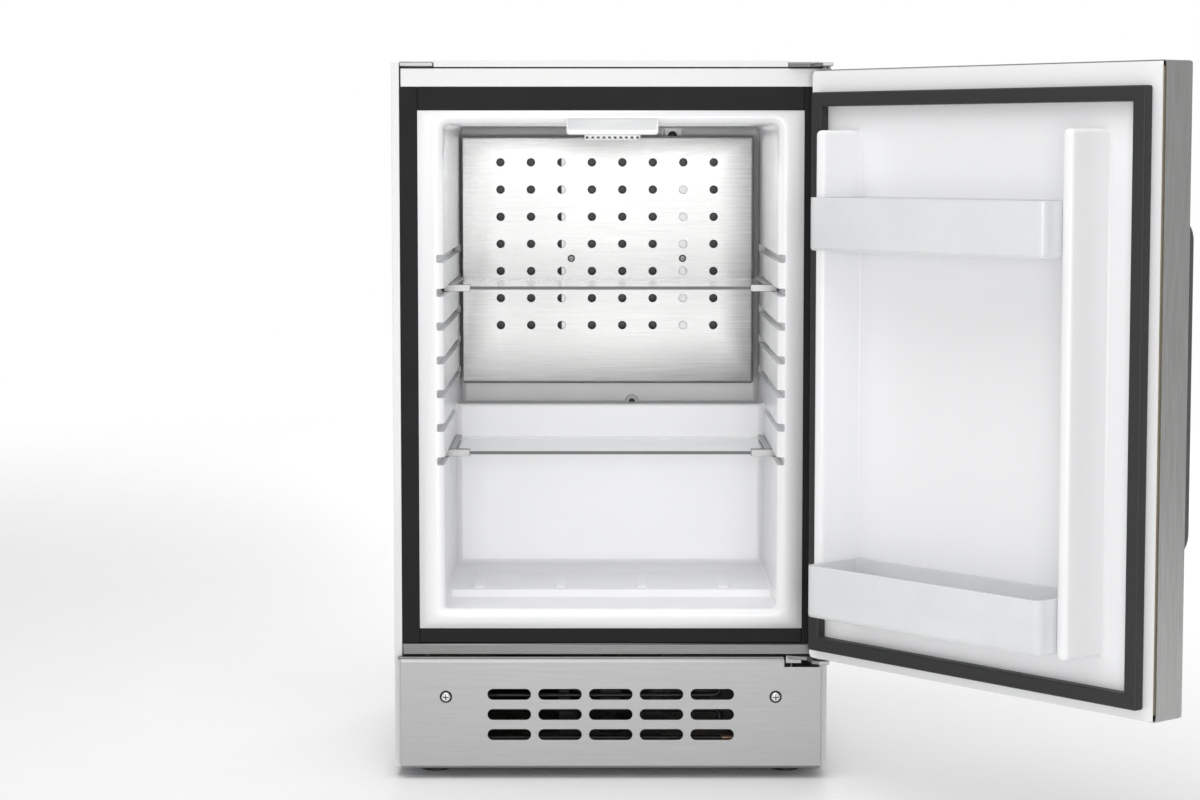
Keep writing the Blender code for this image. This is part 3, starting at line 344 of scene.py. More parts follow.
def scratch(name, shape):
    """A shape as an object for a Boolean; it is removed once it has cut."""
    mesh = bpy.data.meshes.new(name)
    shape.to_mesh(mesh)
    shape.free()
    thing = bpy.data.objects.new(name, mesh)
    scene.collection.objects.link(thing)
    return thing


def settled(thing):
    """The object's shape with its modifiers applied; the object is removed."""
    bpy.context.view_layer.update()
    shape = bmesh.new()
    shape.from_object(thing, bpy.context.evaluated_depsgraph_get())
    bpy.data.objects.remove(thing)
    return shape


def cut(shape, tools, operation="DIFFERENCE"):
    """The shape with each tool cut from it, or joined to it."""
    target = scratch("target", shape)
    cutters = [scratch("tool", tool) for tool in tools]
    for tool in cutters:
        step = target.modifiers.new("cut", "BOOLEAN")
        step.operation = operation
        step.solver = "EXACT"
        step.object = tool
    result = settled(target)
    for tool in cutters:
        bpy.data.objects.remove(tool)
    return result


for side in ("left", "right", "top", "bottom"):
    low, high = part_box("breaker_strip_" + side)
    strip = block(low, high)
    if side in ("left", "right"):
        inner = high.x if side == "left" else low.x
        shoulder = [edge for edge in strip.edges
                    if all(abs(vert.co.x - inner) < 1e-5 and vert.co.z > high.z - 1e-5
                           for vert in edge.verts)]
        bmesh.ops.bevel(strip, geom=shoulder, affect="EDGES", offset=STRIP_TURN, segments=5,
                        profile=0.5, material=-1)
    if side == "top":
        gap = Vector((STRIP_GAP, 0, 0))
        strip = block(low + gap, high - gap)
    strip = cut(strip, [block(low + Vector((0, STRIP_LEDGE, 0)), high)], "UNION")
    make("frame_strip_" + side, strip, black_strip, "cabinet",
         ["breaker_strip_" + side], edge=0.0009, steps=3)

# Bottom rail of the opening. Stainless strip with its long edges rolled, brushed along its length,
# screwed over the foot of the cabinet above the grille.
STEEL = (0.185, 0.185, 0.183)


def brushed(name, colour, along, roughness=0.30, streak=1.0):
    """Stainless steel brushed along one axis, 0 for x and 2 for z."""
    finish = Finish(name, Metallic=1.0)
    stretch = [1.0, 1.0, 1.0]
    stretch[along] = 0.006
    fine = finish.noise(1500.0, 3.0, tuple(stretch))
    stretch[along] = 0.030
    broad = finish.noise(620.0, 4.0, tuple(stretch))
    cloud = finish.noise(4.0, 3.0)
    dark = tuple(part * (1 - 0.20 * streak) for part in colour)
    light = tuple(min(1.0, part * (1 + 0.08 * streak)) for part in colour)
    grain = 0.35 * fine + 1.9 * (broad - 0.5) + 0.32
    finish.coat(Base_Color=finish.blend(grain, dark, light),
                Roughness=roughness - 0.06 + 0.16 * broad * streak + 0.05 * cloud)
    finish.relief(fine, 0.00003, 0.25 * streak)
    return finish.material


brushed_rail = brushed("brushed_steel_along", STEEL, 0)
make("bottom_rail", cad_shape("front_bottom_rail"), brushed_rail, "cabinet",
     ["front_bottom_rail"], edge=0.0020, steps=4)

# Inner liner. One sheet of white plastic, vacuum-formed: a flat lip, a rolled mouth, soft corners,
# runner grooves in both sides, and the step over the compressor with its drain trough.
LINER_WHITE = (0.905, 0.905, 0.915)
LINER_WALL = 0.0010
low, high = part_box("inner_liner")
FRONT = low.y
CAVITY_SIDE = 0.191
CEILING = 0.7413
GUTTER = 0.184
FLOOR = 0.193
STEP_TOP = 0.396
TROUGH = 0.388
CAVITY_BACK = FRONT + 0.410
MOUTH_ROLL = 0.0076
RUNNER_SEATS = [0.3575, 0.3963, 0.4351, 0.4739, 0.5127, 0.5515, 0.5903]


def softened(shape, radii, steps=4):
    """Rounds the edges that radii(edge middle, edge direction) gives a radius for, all at once."""
    full_radius = 0.010
    weight = shape.edges.layers.float.new("bevel_weight_edge")
    for edge in shape.edges:
        ends = [vert.co for vert in edge.verts]
        edge[weight] = radii((ends[0] + ends[1]) / 2, (ends[1] - ends[0]).normalized()) / full_radius
    thing = scratch("soft", shape)
    rounding = thing.modifiers.new("rounding", "BEVEL")
    rounding.width = full_radius
    rounding.segments = steps
    rounding.limit_method = "WEIGHT"
    return settled(thing)


def profile_bar(points, half_width):
    """A bar across the cabinet with the given (y, z) outline."""
    shape = bmesh.new()
    face = shape.faces.new([shape.verts.new((-half_width, y, z)) for y, z in points])
    swept = bmesh.ops.extrude_face_region(shape, geom=[face])["geom"]
    bmesh.ops.translate(shape, vec=(2 * half_width, 0, 0),
                        verts=[part for part in swept if isinstance(part, bmesh.types.BMVert)])
    bmesh.ops.recalc_face_normals(shape, faces=shape.faces)
    return shape


GUTTER_END = FRONT + 0.085
STEP_FRONT = FRONT + 0.288
MOUTH_CLEAR = 0.020
outline = [(FRONT - MOUTH_CLEAR, GUTTER), (GUTTER_END, GUTTER), (GUTTER_END + 0.005, FLOOR),
           (STEP_FRONT, FLOOR + 0.003), (STEP_FRONT + 0.004, STEP_TOP), (STEP_FRONT + 0.012, STEP_TOP),
           (STEP_FRONT + 0.018, TROUGH), (CAVITY_BACK, TROUGH), (CAVITY_BACK, CEILING),
           (FRONT - MOUTH_CLEAR, CEILING)]
WALL_TURN, STEP_FOOT_TURN, FLOOR_TURN, STEP_LIP_TURN, TROUGH_TURN = 0.008, 0.007, 0.005, 0.004, 0.003


def liner_radius(middle, way):
    """The rounding of one edge of the cavity, from its middle and the way it runs."""
    at_ceiling = middle.z > CEILING - 0.001
    if middle.y < FRONT:
        if abs(way.y) < 0.9:
            return 0.0
        return WALL_TURN if at_ceiling else FLOOR_TURN
    if abs(way.z) > 0.9 or at_ceiling:
        return WALL_TURN
    if abs(way.x) > 0.9:
        if abs(middle.z - STEP_TOP) < 0.001:
            return STEP_LIP_TURN
        return STEP_FOOT_TURN if abs(middle.y - STEP_FRONT) < 0.002 else TROUGH_TURN
    return FLOOR_TURN if middle.y < STEP_FRONT else TROUGH_TURN


def rib_radius(middle, way):
    if middle.z > FLOOR:
        return 0.0012
    return 0.004 if abs(way.z) > 0.9 else 0.0


def groove_radius(middle, way):
    return GROOVE_TURN if abs(way.x) < 0.5 else 0.0


cavity = softened(profile_bar(outline, CAVITY_SIDE), liner_radius)
RIB_COUNT, RIB_PITCH, RIB_HALF, RIB_TOP = 4, 0.0968, 0.0078, 0.0019
FIRST_RIB = -0.155825
for place in range(RIB_COUNT):
    x = FIRST_RIB + place * RIB_PITCH
    rib = block((x - RIB_HALF, FRONT + 0.104, FLOOR - 0.004),
                (x + RIB_HALF, STEP_FRONT - 0.022, FLOOR + RIB_TOP))
    cavity = cut(cavity, [softened(rib, rib_radius, 3)])
solid = block((low.x, FRONT, low.z), (high.x, high.y + 0.02, high.z))
hollow = cut(solid, [cavity])
mouth = [edge for edge in hollow.edges
         if all(abs(vert.co.y - FRONT) < 1e-5 for vert in edge.verts)
         and all(abs(vert.co.x) < CAVITY_SIDE + 0.002 for vert in edge.verts)
         and edge.calc_length() > 0 and len(edge.link_faces) == 2
         and abs(edge.calc_face_angle(0)) > radians(30)]
bmesh.ops.bevel(hollow, geom=mouth, affect="EDGES", offset=MOUTH_ROLL, segments=6, profile=0.5,
                material=-1)
GROOVE_DEEP, GROOVE_HEIGHT, GROOVE_TURN = 0.009, 0.0095, 0.0022
grooves = []
for seat in RUNNER_SEATS:
    groove_back = STEP_FRONT - 0.006 if seat < STEP_TOP + GROOVE_HEIGHT else CAVITY_BACK - 0.015
    groove = block((-CAVITY_SIDE - GROOVE_DEEP, FRONT - 0.0010, seat + 0.0022 - GROOVE_HEIGHT),
                   (CAVITY_SIDE + GROOVE_DEEP, groove_back, seat + 0.0022))
    grooves.append(softened(groove, groove_radius, 3))
hollow = cut(hollow, grooves)
outside = [face for face in hollow.faces
           if all(abs(vert.co.x) > high.x - 1e-5 for vert in face.verts)
           or all(vert.co.y > high.y + 0.019 for vert in face.verts)
           or all(vert.co.z > high.z - 1e-5 for vert in face.verts)
           or all(vert.co.z < low.z + 1e-5 for vert in face.verts)]
bmesh.ops.delete(hollow, geom=outside, context="FACES")

liner_finish = moulded("liner_plastic", LINER_WHITE, 0.24, grain=0.000006, scale=900.0, mottled=0.006,
                       Subsurface_Weight=0.05, Subsurface_Radius=(0.004, 0.004, 0.004))
make("moulded_liner", hollow, liner_finish, "cabinet", ["inner_liner"],
     wall=LINER_WALL, smooth=32)

# Drain bushing. A grey moulded sleeve pressed into the trough, which leads melt water down to the
# pan over the compressor.
GREY_MOULDED = (0.56, 0.57, 0.58)
grey_plastic = moulded("grey_moulded_plastic", GREY_MOULDED, 0.36, grain=0.00004, scale=1300.0)
make("drain_sleeve", cad_shape("drain_bushing"), grey_plastic, "cabinet",
     ["drain_bushing"], edge=0.0004, smooth=50)

COLLAR = Vector((0.0286, CAVITY_BACK - 0.0016, TROUGH + 0.0012))
collar = bmesh.new()
turned_out = Matrix.Translation(COLLAR) @ Matrix.Rotation(pi / 2, 4, "X")
bmesh.ops.create_cone(collar, cap_ends=True, segments=40, radius1=0.0090, radius2=0.0076, depth=0.0028,
                      matrix=turned_out)
bore = bmesh.new()
bmesh.ops.create_cone(bore, cap_ends=True, segments=32, radius1=0.0040, radius2=0.0040, depth=0.02,
                      matrix=turned_out)
sunk = block((COLLAR.x - 0.02, COLLAR.y - 0.02, TROUGH - 0.02),
             (COLLAR.x + 0.02, COLLAR.y + 0.02, TROUGH + 0.0004))
make("drain_collar", cut(collar, [bore, sunk]), liner_finish, "cabinet",
     edge=0.0004)
# A black block fills the collar's bore: painted shade for the drain hole.
hole_shade_block = block((COLLAR.x - 0.0045, CAVITY_BACK - 0.0012, TROUGH + 0.0006),
               (COLLAR.x + 0.0045, CAVITY_BACK - 0.0004, COLLAR.z + 0.0046))
make("drain_hole_shade", hole_shade_block, nylon, "cabinet", edge=0.0002)

# Evaporator and its two hangers. The roll-bonded aluminium plate hangs on the back wall; white
# moulded bars behind the cover take the cover's screws.
# The plate is far darker than bare aluminium: partly its own colour, partly painted shade for the plate
# seen through the cover's holes.
SHADED_ALUMINIUM = (0.072, 0.072, 0.074)
rolled = brushed("rolled_aluminium_painted_shade", SHADED_ALUMINIUM, 2, roughness=0.42, streak=0.5)
make("evaporator_plate", cad_shape("evaporator"), rolled, "cabinet", ["evaporator"],
     edge=0.0004)
for side in ("left", "right"):
    make("cover_hanger_" + side, cad_shape("evaporator_bracket_" + side), liner_finish, "cabinet",
         ["evaporator_bracket_" + side], edge=0.0008)

# Evaporator cover. Stainless sheet, brushed across, drilled with rows of round holes, its edges
# folded back to the wall; two cross-head screws hold it, each ringed by a black disc of painted shade.
HOLE_COLUMNS, HOLE_ROWS = 8, 7
HOLE_PITCH = (0.0386, 0.0344)
HOLE_RADIUS = 0.0051
FIRST_ROW_DOWN = 0.0333
SHEET = 0.0010
COVER_FOLD = 0.0036
EXTRA_LEFT, EXTRA_RIGHT = Vector((0.0024, 0, 0)), Vector((0.0018, 0, 0))
COVER_STEEL = (0.445, 0.445, 0.442)


def folded_sheet(low, high, open_sides, fold, wall, steps=4):
    """A sheet folded into a tray: the box of its outside, less its open sides, with a wall."""
    shape = block(low, high)
    bmesh.ops.bevel(shape, geom=list(shape.edges), affect="EDGES", offset=fold, segments=steps,
                    profile=0.5, material=-1)
    centre = (Vector(low) + Vector(high)) / 2
    for way in open_sides:
        way = Vector(way)
        reach = max(way.dot(vert.co - centre) for vert in shape.verts)
        bmesh.ops.delete(shape, context="FACES", geom=[
            face for face in shape.faces
            if way.dot(face.calc_center_median() - centre) > reach - fold * 0.98])
    sheet = scratch("sheet", shape)
    thickness = sheet.modifiers.new("thickness", "SOLIDIFY")
    thickness.thickness = wall
    thickness.offset = -1.0
    thickness.use_even_offset = True
    return settled(sheet)


def drill(shape, place, radius, deep, sides=20):
    """Adds a round cutter to the shape, along y through the place."""
    turn = Matrix.Translation(place) @ Matrix.Rotation(pi / 2, 4, "X")
    bmesh.ops.create_cone(shape, cap_ends=True, segments=sides, radius1=radius, radius2=radius,
                          depth=deep, matrix=turn)


low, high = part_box("evaporator_cover")
cover = folded_sheet(low - EXTRA_LEFT, high + EXTRA_RIGHT, [(0, 1, 0), (-1, 0, 0)], COVER_FOLD, SHEET)
drills = bmesh.new()
for column in range(HOLE_COLUMNS):
    for row in range(HOLE_ROWS):
        drill(drills, ((low.x + high.x) / 2 + (column - (HOLE_COLUMNS - 1) / 2) * HOLE_PITCH[0], low.y,
                       high.z - FIRST_ROW_DOWN - row * HOLE_PITCH[1]), HOLE_RADIUS, 0.012)
brushed_cover = brushed("brushed_steel_cover", COVER_STEEL, 0, roughness=0.32, streak=1.3)
make("perforated_cover", cut(cover, [drills]), brushed_cover, "cabinet",
     ["evaporator_cover"], edge=0.00045)


def cross_screw(centre, radius, head):
    """A round-headed screw with a cross recess, its inside painted black as shade; its head stands out from
    centre.
    """
    shape = bmesh.new()
    bmesh.ops.create_uvsphere(shape, u_segments=28, v_segments=14, radius=radius)
    bmesh.ops.bisect_plane(shape, geom=shape.verts[:] + shape.edges[:] + shape.faces[:],
                           plane_co=(0, 0, 0), plane_no=(0, 0, 1), clear_inner=True)
    rim = [edge for edge in shape.edges if edge.is_boundary]
    bmesh.ops.contextual_create(shape, geom=rim)
    bmesh.ops.scale(shape, vec=(1, 1, head / radius), verts=shape.verts)
    half_long, half_wide = radius * 1.15 / 2, radius * 0.26 / 2
    shape = cut(shape, [block((-x, -y, head * 0.42), (x, y, head * 1.5))
                        for x, y in ((half_long, half_wide), (half_wide, half_long))])
    # Faces down in the cross recess take the second, black finish: painted shade.
    for face in shape.faces:
        spot = face.calc_center_median()
        near, far = sorted((abs(spot.x), abs(spot.y)))
        recess_shade = near < radius * 0.20 and far < radius * 0.6
        face.material_index = 1 if recess_shade and 0.1 * head < spot.z < 0.80 * head else 0
    turn = Vector((0, 0, 1)).rotation_difference(Vector((0, -1, 0))).to_matrix().to_4x4()
    bmesh.ops.transform(shape, matrix=Matrix.Translation(centre) @ turn, verts=shape.verts)
    return shape


bright_screw = brushed("bright_screw", (0.86, 0.86, 0.86), 2, roughness=0.44, streak=0.4)
for side in ("left", "right"):
    low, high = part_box("cover_screw_" + side)
    centre = ((low.x + high.x) / 2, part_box("evaporator_cover")[0].y, (low.z + high.z) / 2)
    # A black disc behind each screw head: painted shade round the screw.
    screw_shade_disc = bmesh.new()
    drill(screw_shade_disc, (centre[0], centre[1] - 0.0004, centre[2]), 0.0047, 0.0008, 36)
    make("cover_washer_" + side, screw_shade_disc, nylon, "cabinet", edge=0.0002)
    make("cover_fixing_" + side, cross_screw((centre[0], centre[1] - 0.0008, centre[2]), 0.0031, 0.0020),
         [bright_screw, nylon], "cabinet", ["cover_screw_" + side], smooth=40)

# Stud at the top of the back wall. A domed fixing on a small white plate holds the evaporator's
# upper edge; its top half shows over the cover.
STUD = (0.0803, CAVITY_BACK - 0.0030, 0.7300)
stud_plate = block((STUD[0] - 0.0105, CAVITY_BACK - 0.0028, STUD[2] - 0.010),
                   (STUD[0] + 0.0120, CAVITY_BACK - 0.0003, CEILING - 0.0015))
make("wall_stud_plate", stud_plate, liner_finish, "cabinet", edge=0.0008)
make("wall_stud", cross_screw(STUD, 0.0060, 0.0042), nylon, "cabinet", smooth=40)
tab = block((STUD[0] - 0.0135, CAVITY_BACK - 0.0075, STUD[2] - 0.008),
            (STUD[0] - 0.0115, CAVITY_BACK - 0.0003, CEILING - 0.0020))
make("wall_stud_tab", tab, liner_finish, "cabinet", edge=0.0005)

# Lamp and thermostat housing. A grey moulding clipped to the front of the ceiling, with a raised
# white rim; a slotted white diffuser covers the lamp, and the dial sits behind it.
WHITE_MOULDED = (0.88, 0.88, 0.885)
RIM, RIM_PROUD = 0.0020, 0.0007
low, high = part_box("control_housing")
white_plastic = moulded("white_moulded_plastic", WHITE_MOULDED, 0.30, scale=1100.0, mottled=0.01)
pale_face = moulded("pale_grey_face", (0.70, 0.72, 0.72), 0.34, scale=1100.0, mottled=0.01)
front_plate = block(low, (high.x, low.y + 0.0036, high.z))
rest = block((low.x + 0.0006, low.y + 0.0030, low.z + 0.0004),
             (high.x - 0.0006, high.y, CEILING - 0.0004))
pocket = block((low.x + 0.0242, low.y + 0.020, low.z - 0.01),
               (high.x - 0.0242, low.y + 0.076, low.z + 0.0095))
lower_corners = [edge for edge in front_plate.edges
                 if all(vert.co.z < low.z + 1e-5 for vert in edge.verts)
                 and abs(edge.verts[0].co.x - edge.verts[1].co.x) < 1e-5]
bmesh.ops.bevel(front_plate, geom=lower_corners, affect="EDGES", offset=0.0042, segments=6, profile=0.5,
                material=-1)
face = min(front_plate.faces, key=lambda side: side.calc_center_median().y)
bmesh.ops.inset_region(front_plate, faces=[face], thickness=RIM, depth=0.0)
for vert in face.verts:
    vert.co += Vector((0, RIM_PROUD, 0.0034 if vert.co.z < (low.z + high.z) / 2 else 0.0010))
face.material_index = 1
make("lamp_housing_front", front_plate, [white_plastic, pale_face], "cabinet",
     ["control_housing"], edge=0.0003)
make("lamp_housing", cut(rest, [pocket]), white_plastic, "cabinet", edge=0.0008)

SLIT_COUNT, SLIT_PITCH, HOOD_WALL = 10, 0.0064, 0.0014
low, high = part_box("lamp_cover")
hood = block(low, high)
lower_edges = [edge for edge in hood.edges if edge.verts[0].co.z + edge.verts[1].co.z < 2 * high.z - 1e-5]
bmesh.ops.bevel(hood, geom=lower_edges, affect="EDGES", offset=0.0016, segments=4, profile=0.5,
                material=-1)
hollow = block((low.x + HOOD_WALL, low.y + HOOD_WALL, low.z + HOOD_WALL),
               (high.x - HOOD_WALL, high.y - HOOD_WALL, high.z + 0.01))
slits = bmesh.new()
for place in range(SLIT_COUNT):
    x = (low.x + high.x) / 2 + (place - (SLIT_COUNT - 1) / 2) * SLIT_PITCH
    slit = bmesh.ops.create_cube(slits, size=1.0)["verts"]
    bmesh.ops.scale(slits, vec=(0.0029, 0.052, 0.0042), verts=slit)
    bmesh.ops.translate(slits, vec=(x, low.y - 0.002 + 0.026, low.z - 0.0004 + 0.0021), verts=slit)
make("lamp_diffuser", cut(hood, [hollow, slits]), white_plastic, "cabinet", ["lamp_cover"],
     edge=0.0003)

# A black block behind the diffuser's slits: painted shade inside the housing.
slit_shade_block = block((low.x + 0.0020, low.y + 0.0030, low.z + 0.0020),
               (high.x - 0.0020, low.y + 0.0100, high.z - 0.0004))
make("lamp_slit_shade", slit_shade_block, nylon, "cabinet", edge=0.0004)

# Thermostat dial. A white moulded knob with a fluted edge and an index line, pressed on the
# thermostat's spindle under the housing.
low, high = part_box("thermostat_knob")
dial_centre = Vector(((low.x + high.x) / 2, (low.y + high.y) / 2, low.z))
dial = bmesh.new()
bmesh.ops.create_cone(dial, cap_ends=True, segments=48, radius1=0.0092, radius2=0.0098,
                      depth=high.z - low.z,
                      matrix=Matrix.Translation(dial_centre + Vector((0, 0, (high.z - low.z) / 2))))
FLUTE_COUNT, FLUTE_RING = 16, 0.0102
flutes = bmesh.new()
for turn in range(FLUTE_COUNT):
    angle = 2 * pi * turn / FLUTE_COUNT
    rim_spot = dial_centre + Vector((FLUTE_RING * cos(angle), FLUTE_RING * sin(angle), 0))
    bmesh.ops.create_cone(flutes, cap_ends=True, segments=10, radius1=0.0009, radius2=0.0009, depth=0.02,
                          matrix=Matrix.Translation(rim_spot))
pointer = block(dial_centre + Vector((-0.0006, -0.0085, -0.001)),
                dial_centre + Vector((0.0006, -0.002, 0.0006)))
make("thermostat_dial", cut(dial, [flutes, pointer]), white_plastic, "knob",
     ["thermostat_knob"], edge=0.0003)

# Shelves. Tempered glass with polished edges, held by grey moulded rails that slide in the runner
# grooves; a bright cap finishes each rail's front end.
CAP_LONG = 0.0126
glass_face = Finish("shelf_glass", Specular_IOR_Level=0.5)
smear = glass_face.noise(18.0, 4.0)
glass_face.coat(Base_Color=glass_face.blend(smear, (0.78, 0.81, 0.81), (0.86, 0.89, 0.885)),
                Roughness=0.03 + 0.05 * smear, Alpha=0.20 + 0.05 * smear)
glass_edge = Finish("shelf_glass_edge", Specular_IOR_Level=0.10)
swirl = glass_edge.noise(60.0, 3.0, (1.0, 1.0, 8.0))
glass_edge.coat(Base_Color=glass_edge.blend(swirl, (0.150, 0.158, 0.156), (0.190, 0.198, 0.196)),
                Roughness=0.34 + 0.08 * swirl, Alpha=0.96 + 0.08 * swirl)
bright_cap = brushed("bright_cap", (0.27, 0.27, 0.27), 0, roughness=0.34, streak=0.5)
rail_grey = moulded("rail_grey", (0.50, 0.51, 0.52), 0.40, grain=0.00012, scale=420.0, mottled=0.10)
for level_name in ("upper", "lower"):
    body = "shelf_" + level_name
    pane = cad_shape(body + "_glass")
    for face in pane.faces:
        face.material_index = 1 if face.normal.y < -0.9 else 0
    make(body + "_pane", pane, [glass_face.material, glass_edge.material], body,
         [body + "_glass"], edge=0.0003)
    for side in ("left", "right"):
        rail_name = "%s_rail_%s" % (body, side)
        low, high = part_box(rail_name)
        rail = cad_shape(rail_name)
        bmesh.ops.bisect_plane(rail, geom=rail.verts[:] + rail.edges[:] + rail.faces[:],
                               plane_co=(0, low.y + CAP_LONG, 0), plane_no=(0, 1, 0))
        for face in rail.faces:
            face.material_index = 1 if face.calc_center_median().y < low.y + CAP_LONG else 0
        make("%s_runner_%s" % (body, side), rail, [rail_grey, bright_cap], body,
             [rail_name], edge=0.0009, steps=3)

# Hinges. Zinc-plated steel brackets screwed to the right-hand corners, each with its pin; a plain
# plated cover closes the unused corner on the left.
PLATED = (0.35, 0.35, 0.355)
plated = brushed("zinc_plated_steel", PLATED, 0, roughness=0.36, streak=0.6)
make("upper_hinge", cad_shape("hinge_bracket_top"), plated, "cabinet",
     ["hinge_bracket_top"], edge=0.0006)
make("lower_hinge", cad_shape("hinge_bracket_bottom"), plated, "cabinet",
     ["hinge_bracket_bottom"], edge=0.0006)
make("spare_corner_cover", cad_shape("spare_hinge_cover"), plated, "cabinet",
     ["spare_hinge_cover"], edge=0.0008)

# Kick plate. A stainless grille with three rows of round-ended slots, folded back along its top to a
# second bright edge, notched for the lower hinge and held by two cross-head screws, each ringed by a black
# cup of painted shade.
KICK_STEEL = (0.385, 0.385, 0.385)
SLOT_SIZE = (0.050, 0.0126)
SLOT_PITCH = (0.0585, 0.0235)
SLOT_TOP = 0.0866
SLOT_COLUMNS, SLOT_ROWS = 5, 3
low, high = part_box("kick_plate")
grille = folded_sheet(low, (high.x, FRONT + 0.0100, high.z), [(0, 1, 0), (1, 0, 0), (-1, 0, 0)],
                      0.0032, 0.0013, 1)
under = block((low.x - 0.01, high.y, low.z - 0.01), (high.x + 0.01, FRONT + 0.03, low.z + 0.08))
slots = bmesh.new()
for column in range(SLOT_COLUMNS):
    for row in range(SLOT_ROWS):
        x, z = (column - 2) * SLOT_PITCH[0], SLOT_TOP - row * SLOT_PITCH[1]
        slot_shape = block((x - SLOT_SIZE[0] / 2, low.y - 0.01, z - SLOT_SIZE[1] / 2),
                           (x + SLOT_SIZE[0] / 2, low.y + 0.006, z + SLOT_SIZE[1] / 2))
        ends = [edge for edge in slot_shape.edges
                if abs(edge.verts[0].co.y - edge.verts[1].co.y) > 0.01]
        bmesh.ops.bevel(slot_shape, geom=ends, affect="EDGES", offset=SLOT_SIZE[1] / 2 * 0.998,
                        segments=8, profile=0.5, material=-1)
        cutter_mesh = bpy.data.meshes.new("slot")
        slot_shape.to_mesh(cutter_mesh)
        slot_shape.free()
        slots.from_mesh(cutter_mesh)
notch = block((0.200, low.y - 0.01, 0.1185), (0.26, high.y + 0.01, 0.135))
brushed_kick = brushed("brushed_steel_kick", KICK_STEEL, 0, roughness=0.46, streak=0.35)
make("kick_grille", cut(grille, [slots, notch, under]), brushed_kick, "cabinet",
     ["kick_plate"], edge=0.0006)
top_fold = block((-0.2455, FRONT - 0.0100, 0.1262), (0.200, FRONT - 0.0022, 0.1296))
make("kick_top_fold", top_fold, brushed_rail, "cabinet", edge=0.0010, steps=3)
for side in ("left", "right"):
    low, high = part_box("kick_screw_" + side)
    centre = ((low.x + high.x) / 2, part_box("kick_plate")[0].y - 0.0003, (low.z + high.z) / 2)
    # A black cup behind each screw head: painted shade round the screw.
    screw_shade_cup = bmesh.new()
    bmesh.ops.create_cone(screw_shade_cup, cap_ends=True, segments=40, radius1=0.0072, radius2=0.0066, depth=0.0012,
                          matrix=Matrix.Translation((centre[0], centre[1] - 0.0006, centre[2]))
                          @ Matrix.Rotation(pi / 2, 4, "X"))
    make("kick_washer_" + side, screw_shade_cup, black_strip, "cabinet", edge=0.0003)
    make("kick_fixing_" + side, cross_screw((centre[0], centre[1] - 0.0011, centre[2]), 0.0053, 0.0022),
         [bright_screw, nylon], "cabinet", ["kick_screw_" + side], smooth=40)

# Door. A brushed stainless skin folded round foam, with a white vacuum-formed liner, two upright
# dykes that carry the bins, a black magnetic gasket and a tubular handle; it swings on the pins.
DOOR_OPEN = radians(130)
PIN = Vector((0.242, -0.268, 0.0))
swing = Matrix.Translation(PIN) @ Matrix.Rotation(DOOR_OPEN, 4, "Z") @ Matrix.Translation(-PIN)
HALF = 0.250
DOOR_LOW, DOOR_HIGH = 0.132, 0.8015
DOOR_FACE = FRONT - 0.062
DOOR_BACK = FRONT - 0.014
LINER_SHEET = 0.002


def on_door(shape):
    """Swings a shape made on the closed door out to where the door stands open."""
    bmesh.ops.transform(shape, matrix=swing, verts=shape.verts)
    return shape


skin = folded_sheet((-HALF, DOOR_FACE, DOOR_LOW), (HALF, DOOR_BACK - LINER_SHEET - 0.0003, DOOR_HIGH),
                    [(0, 1, 0)], 0.0030, 0.0012)
bores = bmesh.new()
for z in (DOOR_LOW, DOOR_HIGH):
    bmesh.ops.create_cone(bores, cap_ends=True, segments=24, radius1=0.0056, radius2=0.0056, depth=0.03,
                          matrix=Matrix.Translation((PIN.x, PIN.y, z)))
brushed_door = brushed("brushed_steel_door", (0.55, 0.55, 0.545), 2, roughness=0.33)
make("door_skin", on_door(cut(skin, [bores])), brushed_door, "door",
     ["door_outer_panel"], edge=0.0003)

DYKE_OUT, DYKE_IN, DYKE_REACH = 0.184, 0.170, FRONT + 0.045
panel = block((-HALF + 0.0015, DOOR_BACK - LINER_SHEET, DOOR_LOW + 0.0015),
              (HALF - 0.0015, DOOR_BACK, DOOR_HIGH - 0.0015))
dykes = [block((min(side * DYKE_IN, side * DYKE_OUT), DOOR_BACK - 0.001, 0.193),
               (max(side * DYKE_IN, side * DYKE_OUT), DYKE_REACH, CEILING - 0.008)) for side in (-1, 1)]
lined = cut(panel, dykes, "UNION")


def dyke_radius(middle, way):
    """Rounds the dykes' edges, and the turn where they rise from the door's liner."""
    if middle.y > DOOR_BACK + 0.001:
        return 0.0055
    if middle.y > DOOR_BACK - 1e-4 and abs(middle.x) < HALF - 0.01 and 0.15 < middle.z < 0.79:
        return 0.0040
    return 0.0


make("door_inner_liner", on_door(softened(lined, dyke_radius)), liner_finish, "door",
     ["door_liner"], smooth=32)

black_band = cad_shape("door_gasket")
black_seal = moulded("black_gasket", (0.022, 0.022, 0.023), 0.55, grain=0.00004, scale=900.0)
make("magnetic_gasket", black_band, black_seal, "door", ["door_gasket"], edge=0.0022, steps=4)

GRIP_X, GRIP_OUT = -HALF + 0.035, DOOR_FACE - 0.038
GRIP_LOW, GRIP_HIGH = DOOR_LOW + 0.165, DOOR_LOW + 0.505
GRIP_RADIUS = 0.0065
GRIP_BEND, BEND_STEPS = 0.018, 8


def grow(shape, face, move=None, turn=None):
    """Extrudes an end face, straight along move or turned by (centre, angle) about x; returns the
    new end."""
    region = bmesh.ops.extrude_face_region(shape, geom=[face])["geom"]
    verts = [part for part in region if isinstance(part, bmesh.types.BMVert)]
    if move:
        bmesh.ops.translate(shape, vec=move, verts=verts)
    else:
        bmesh.ops.rotate(shape, cent=turn[0], matrix=Matrix.Rotation(turn[1], 3, "X"), verts=verts)
    if face.is_valid:
        bmesh.ops.delete(shape, geom=[face], context="FACES_ONLY")
    return next(part for part in region if isinstance(part, bmesh.types.BMFace))


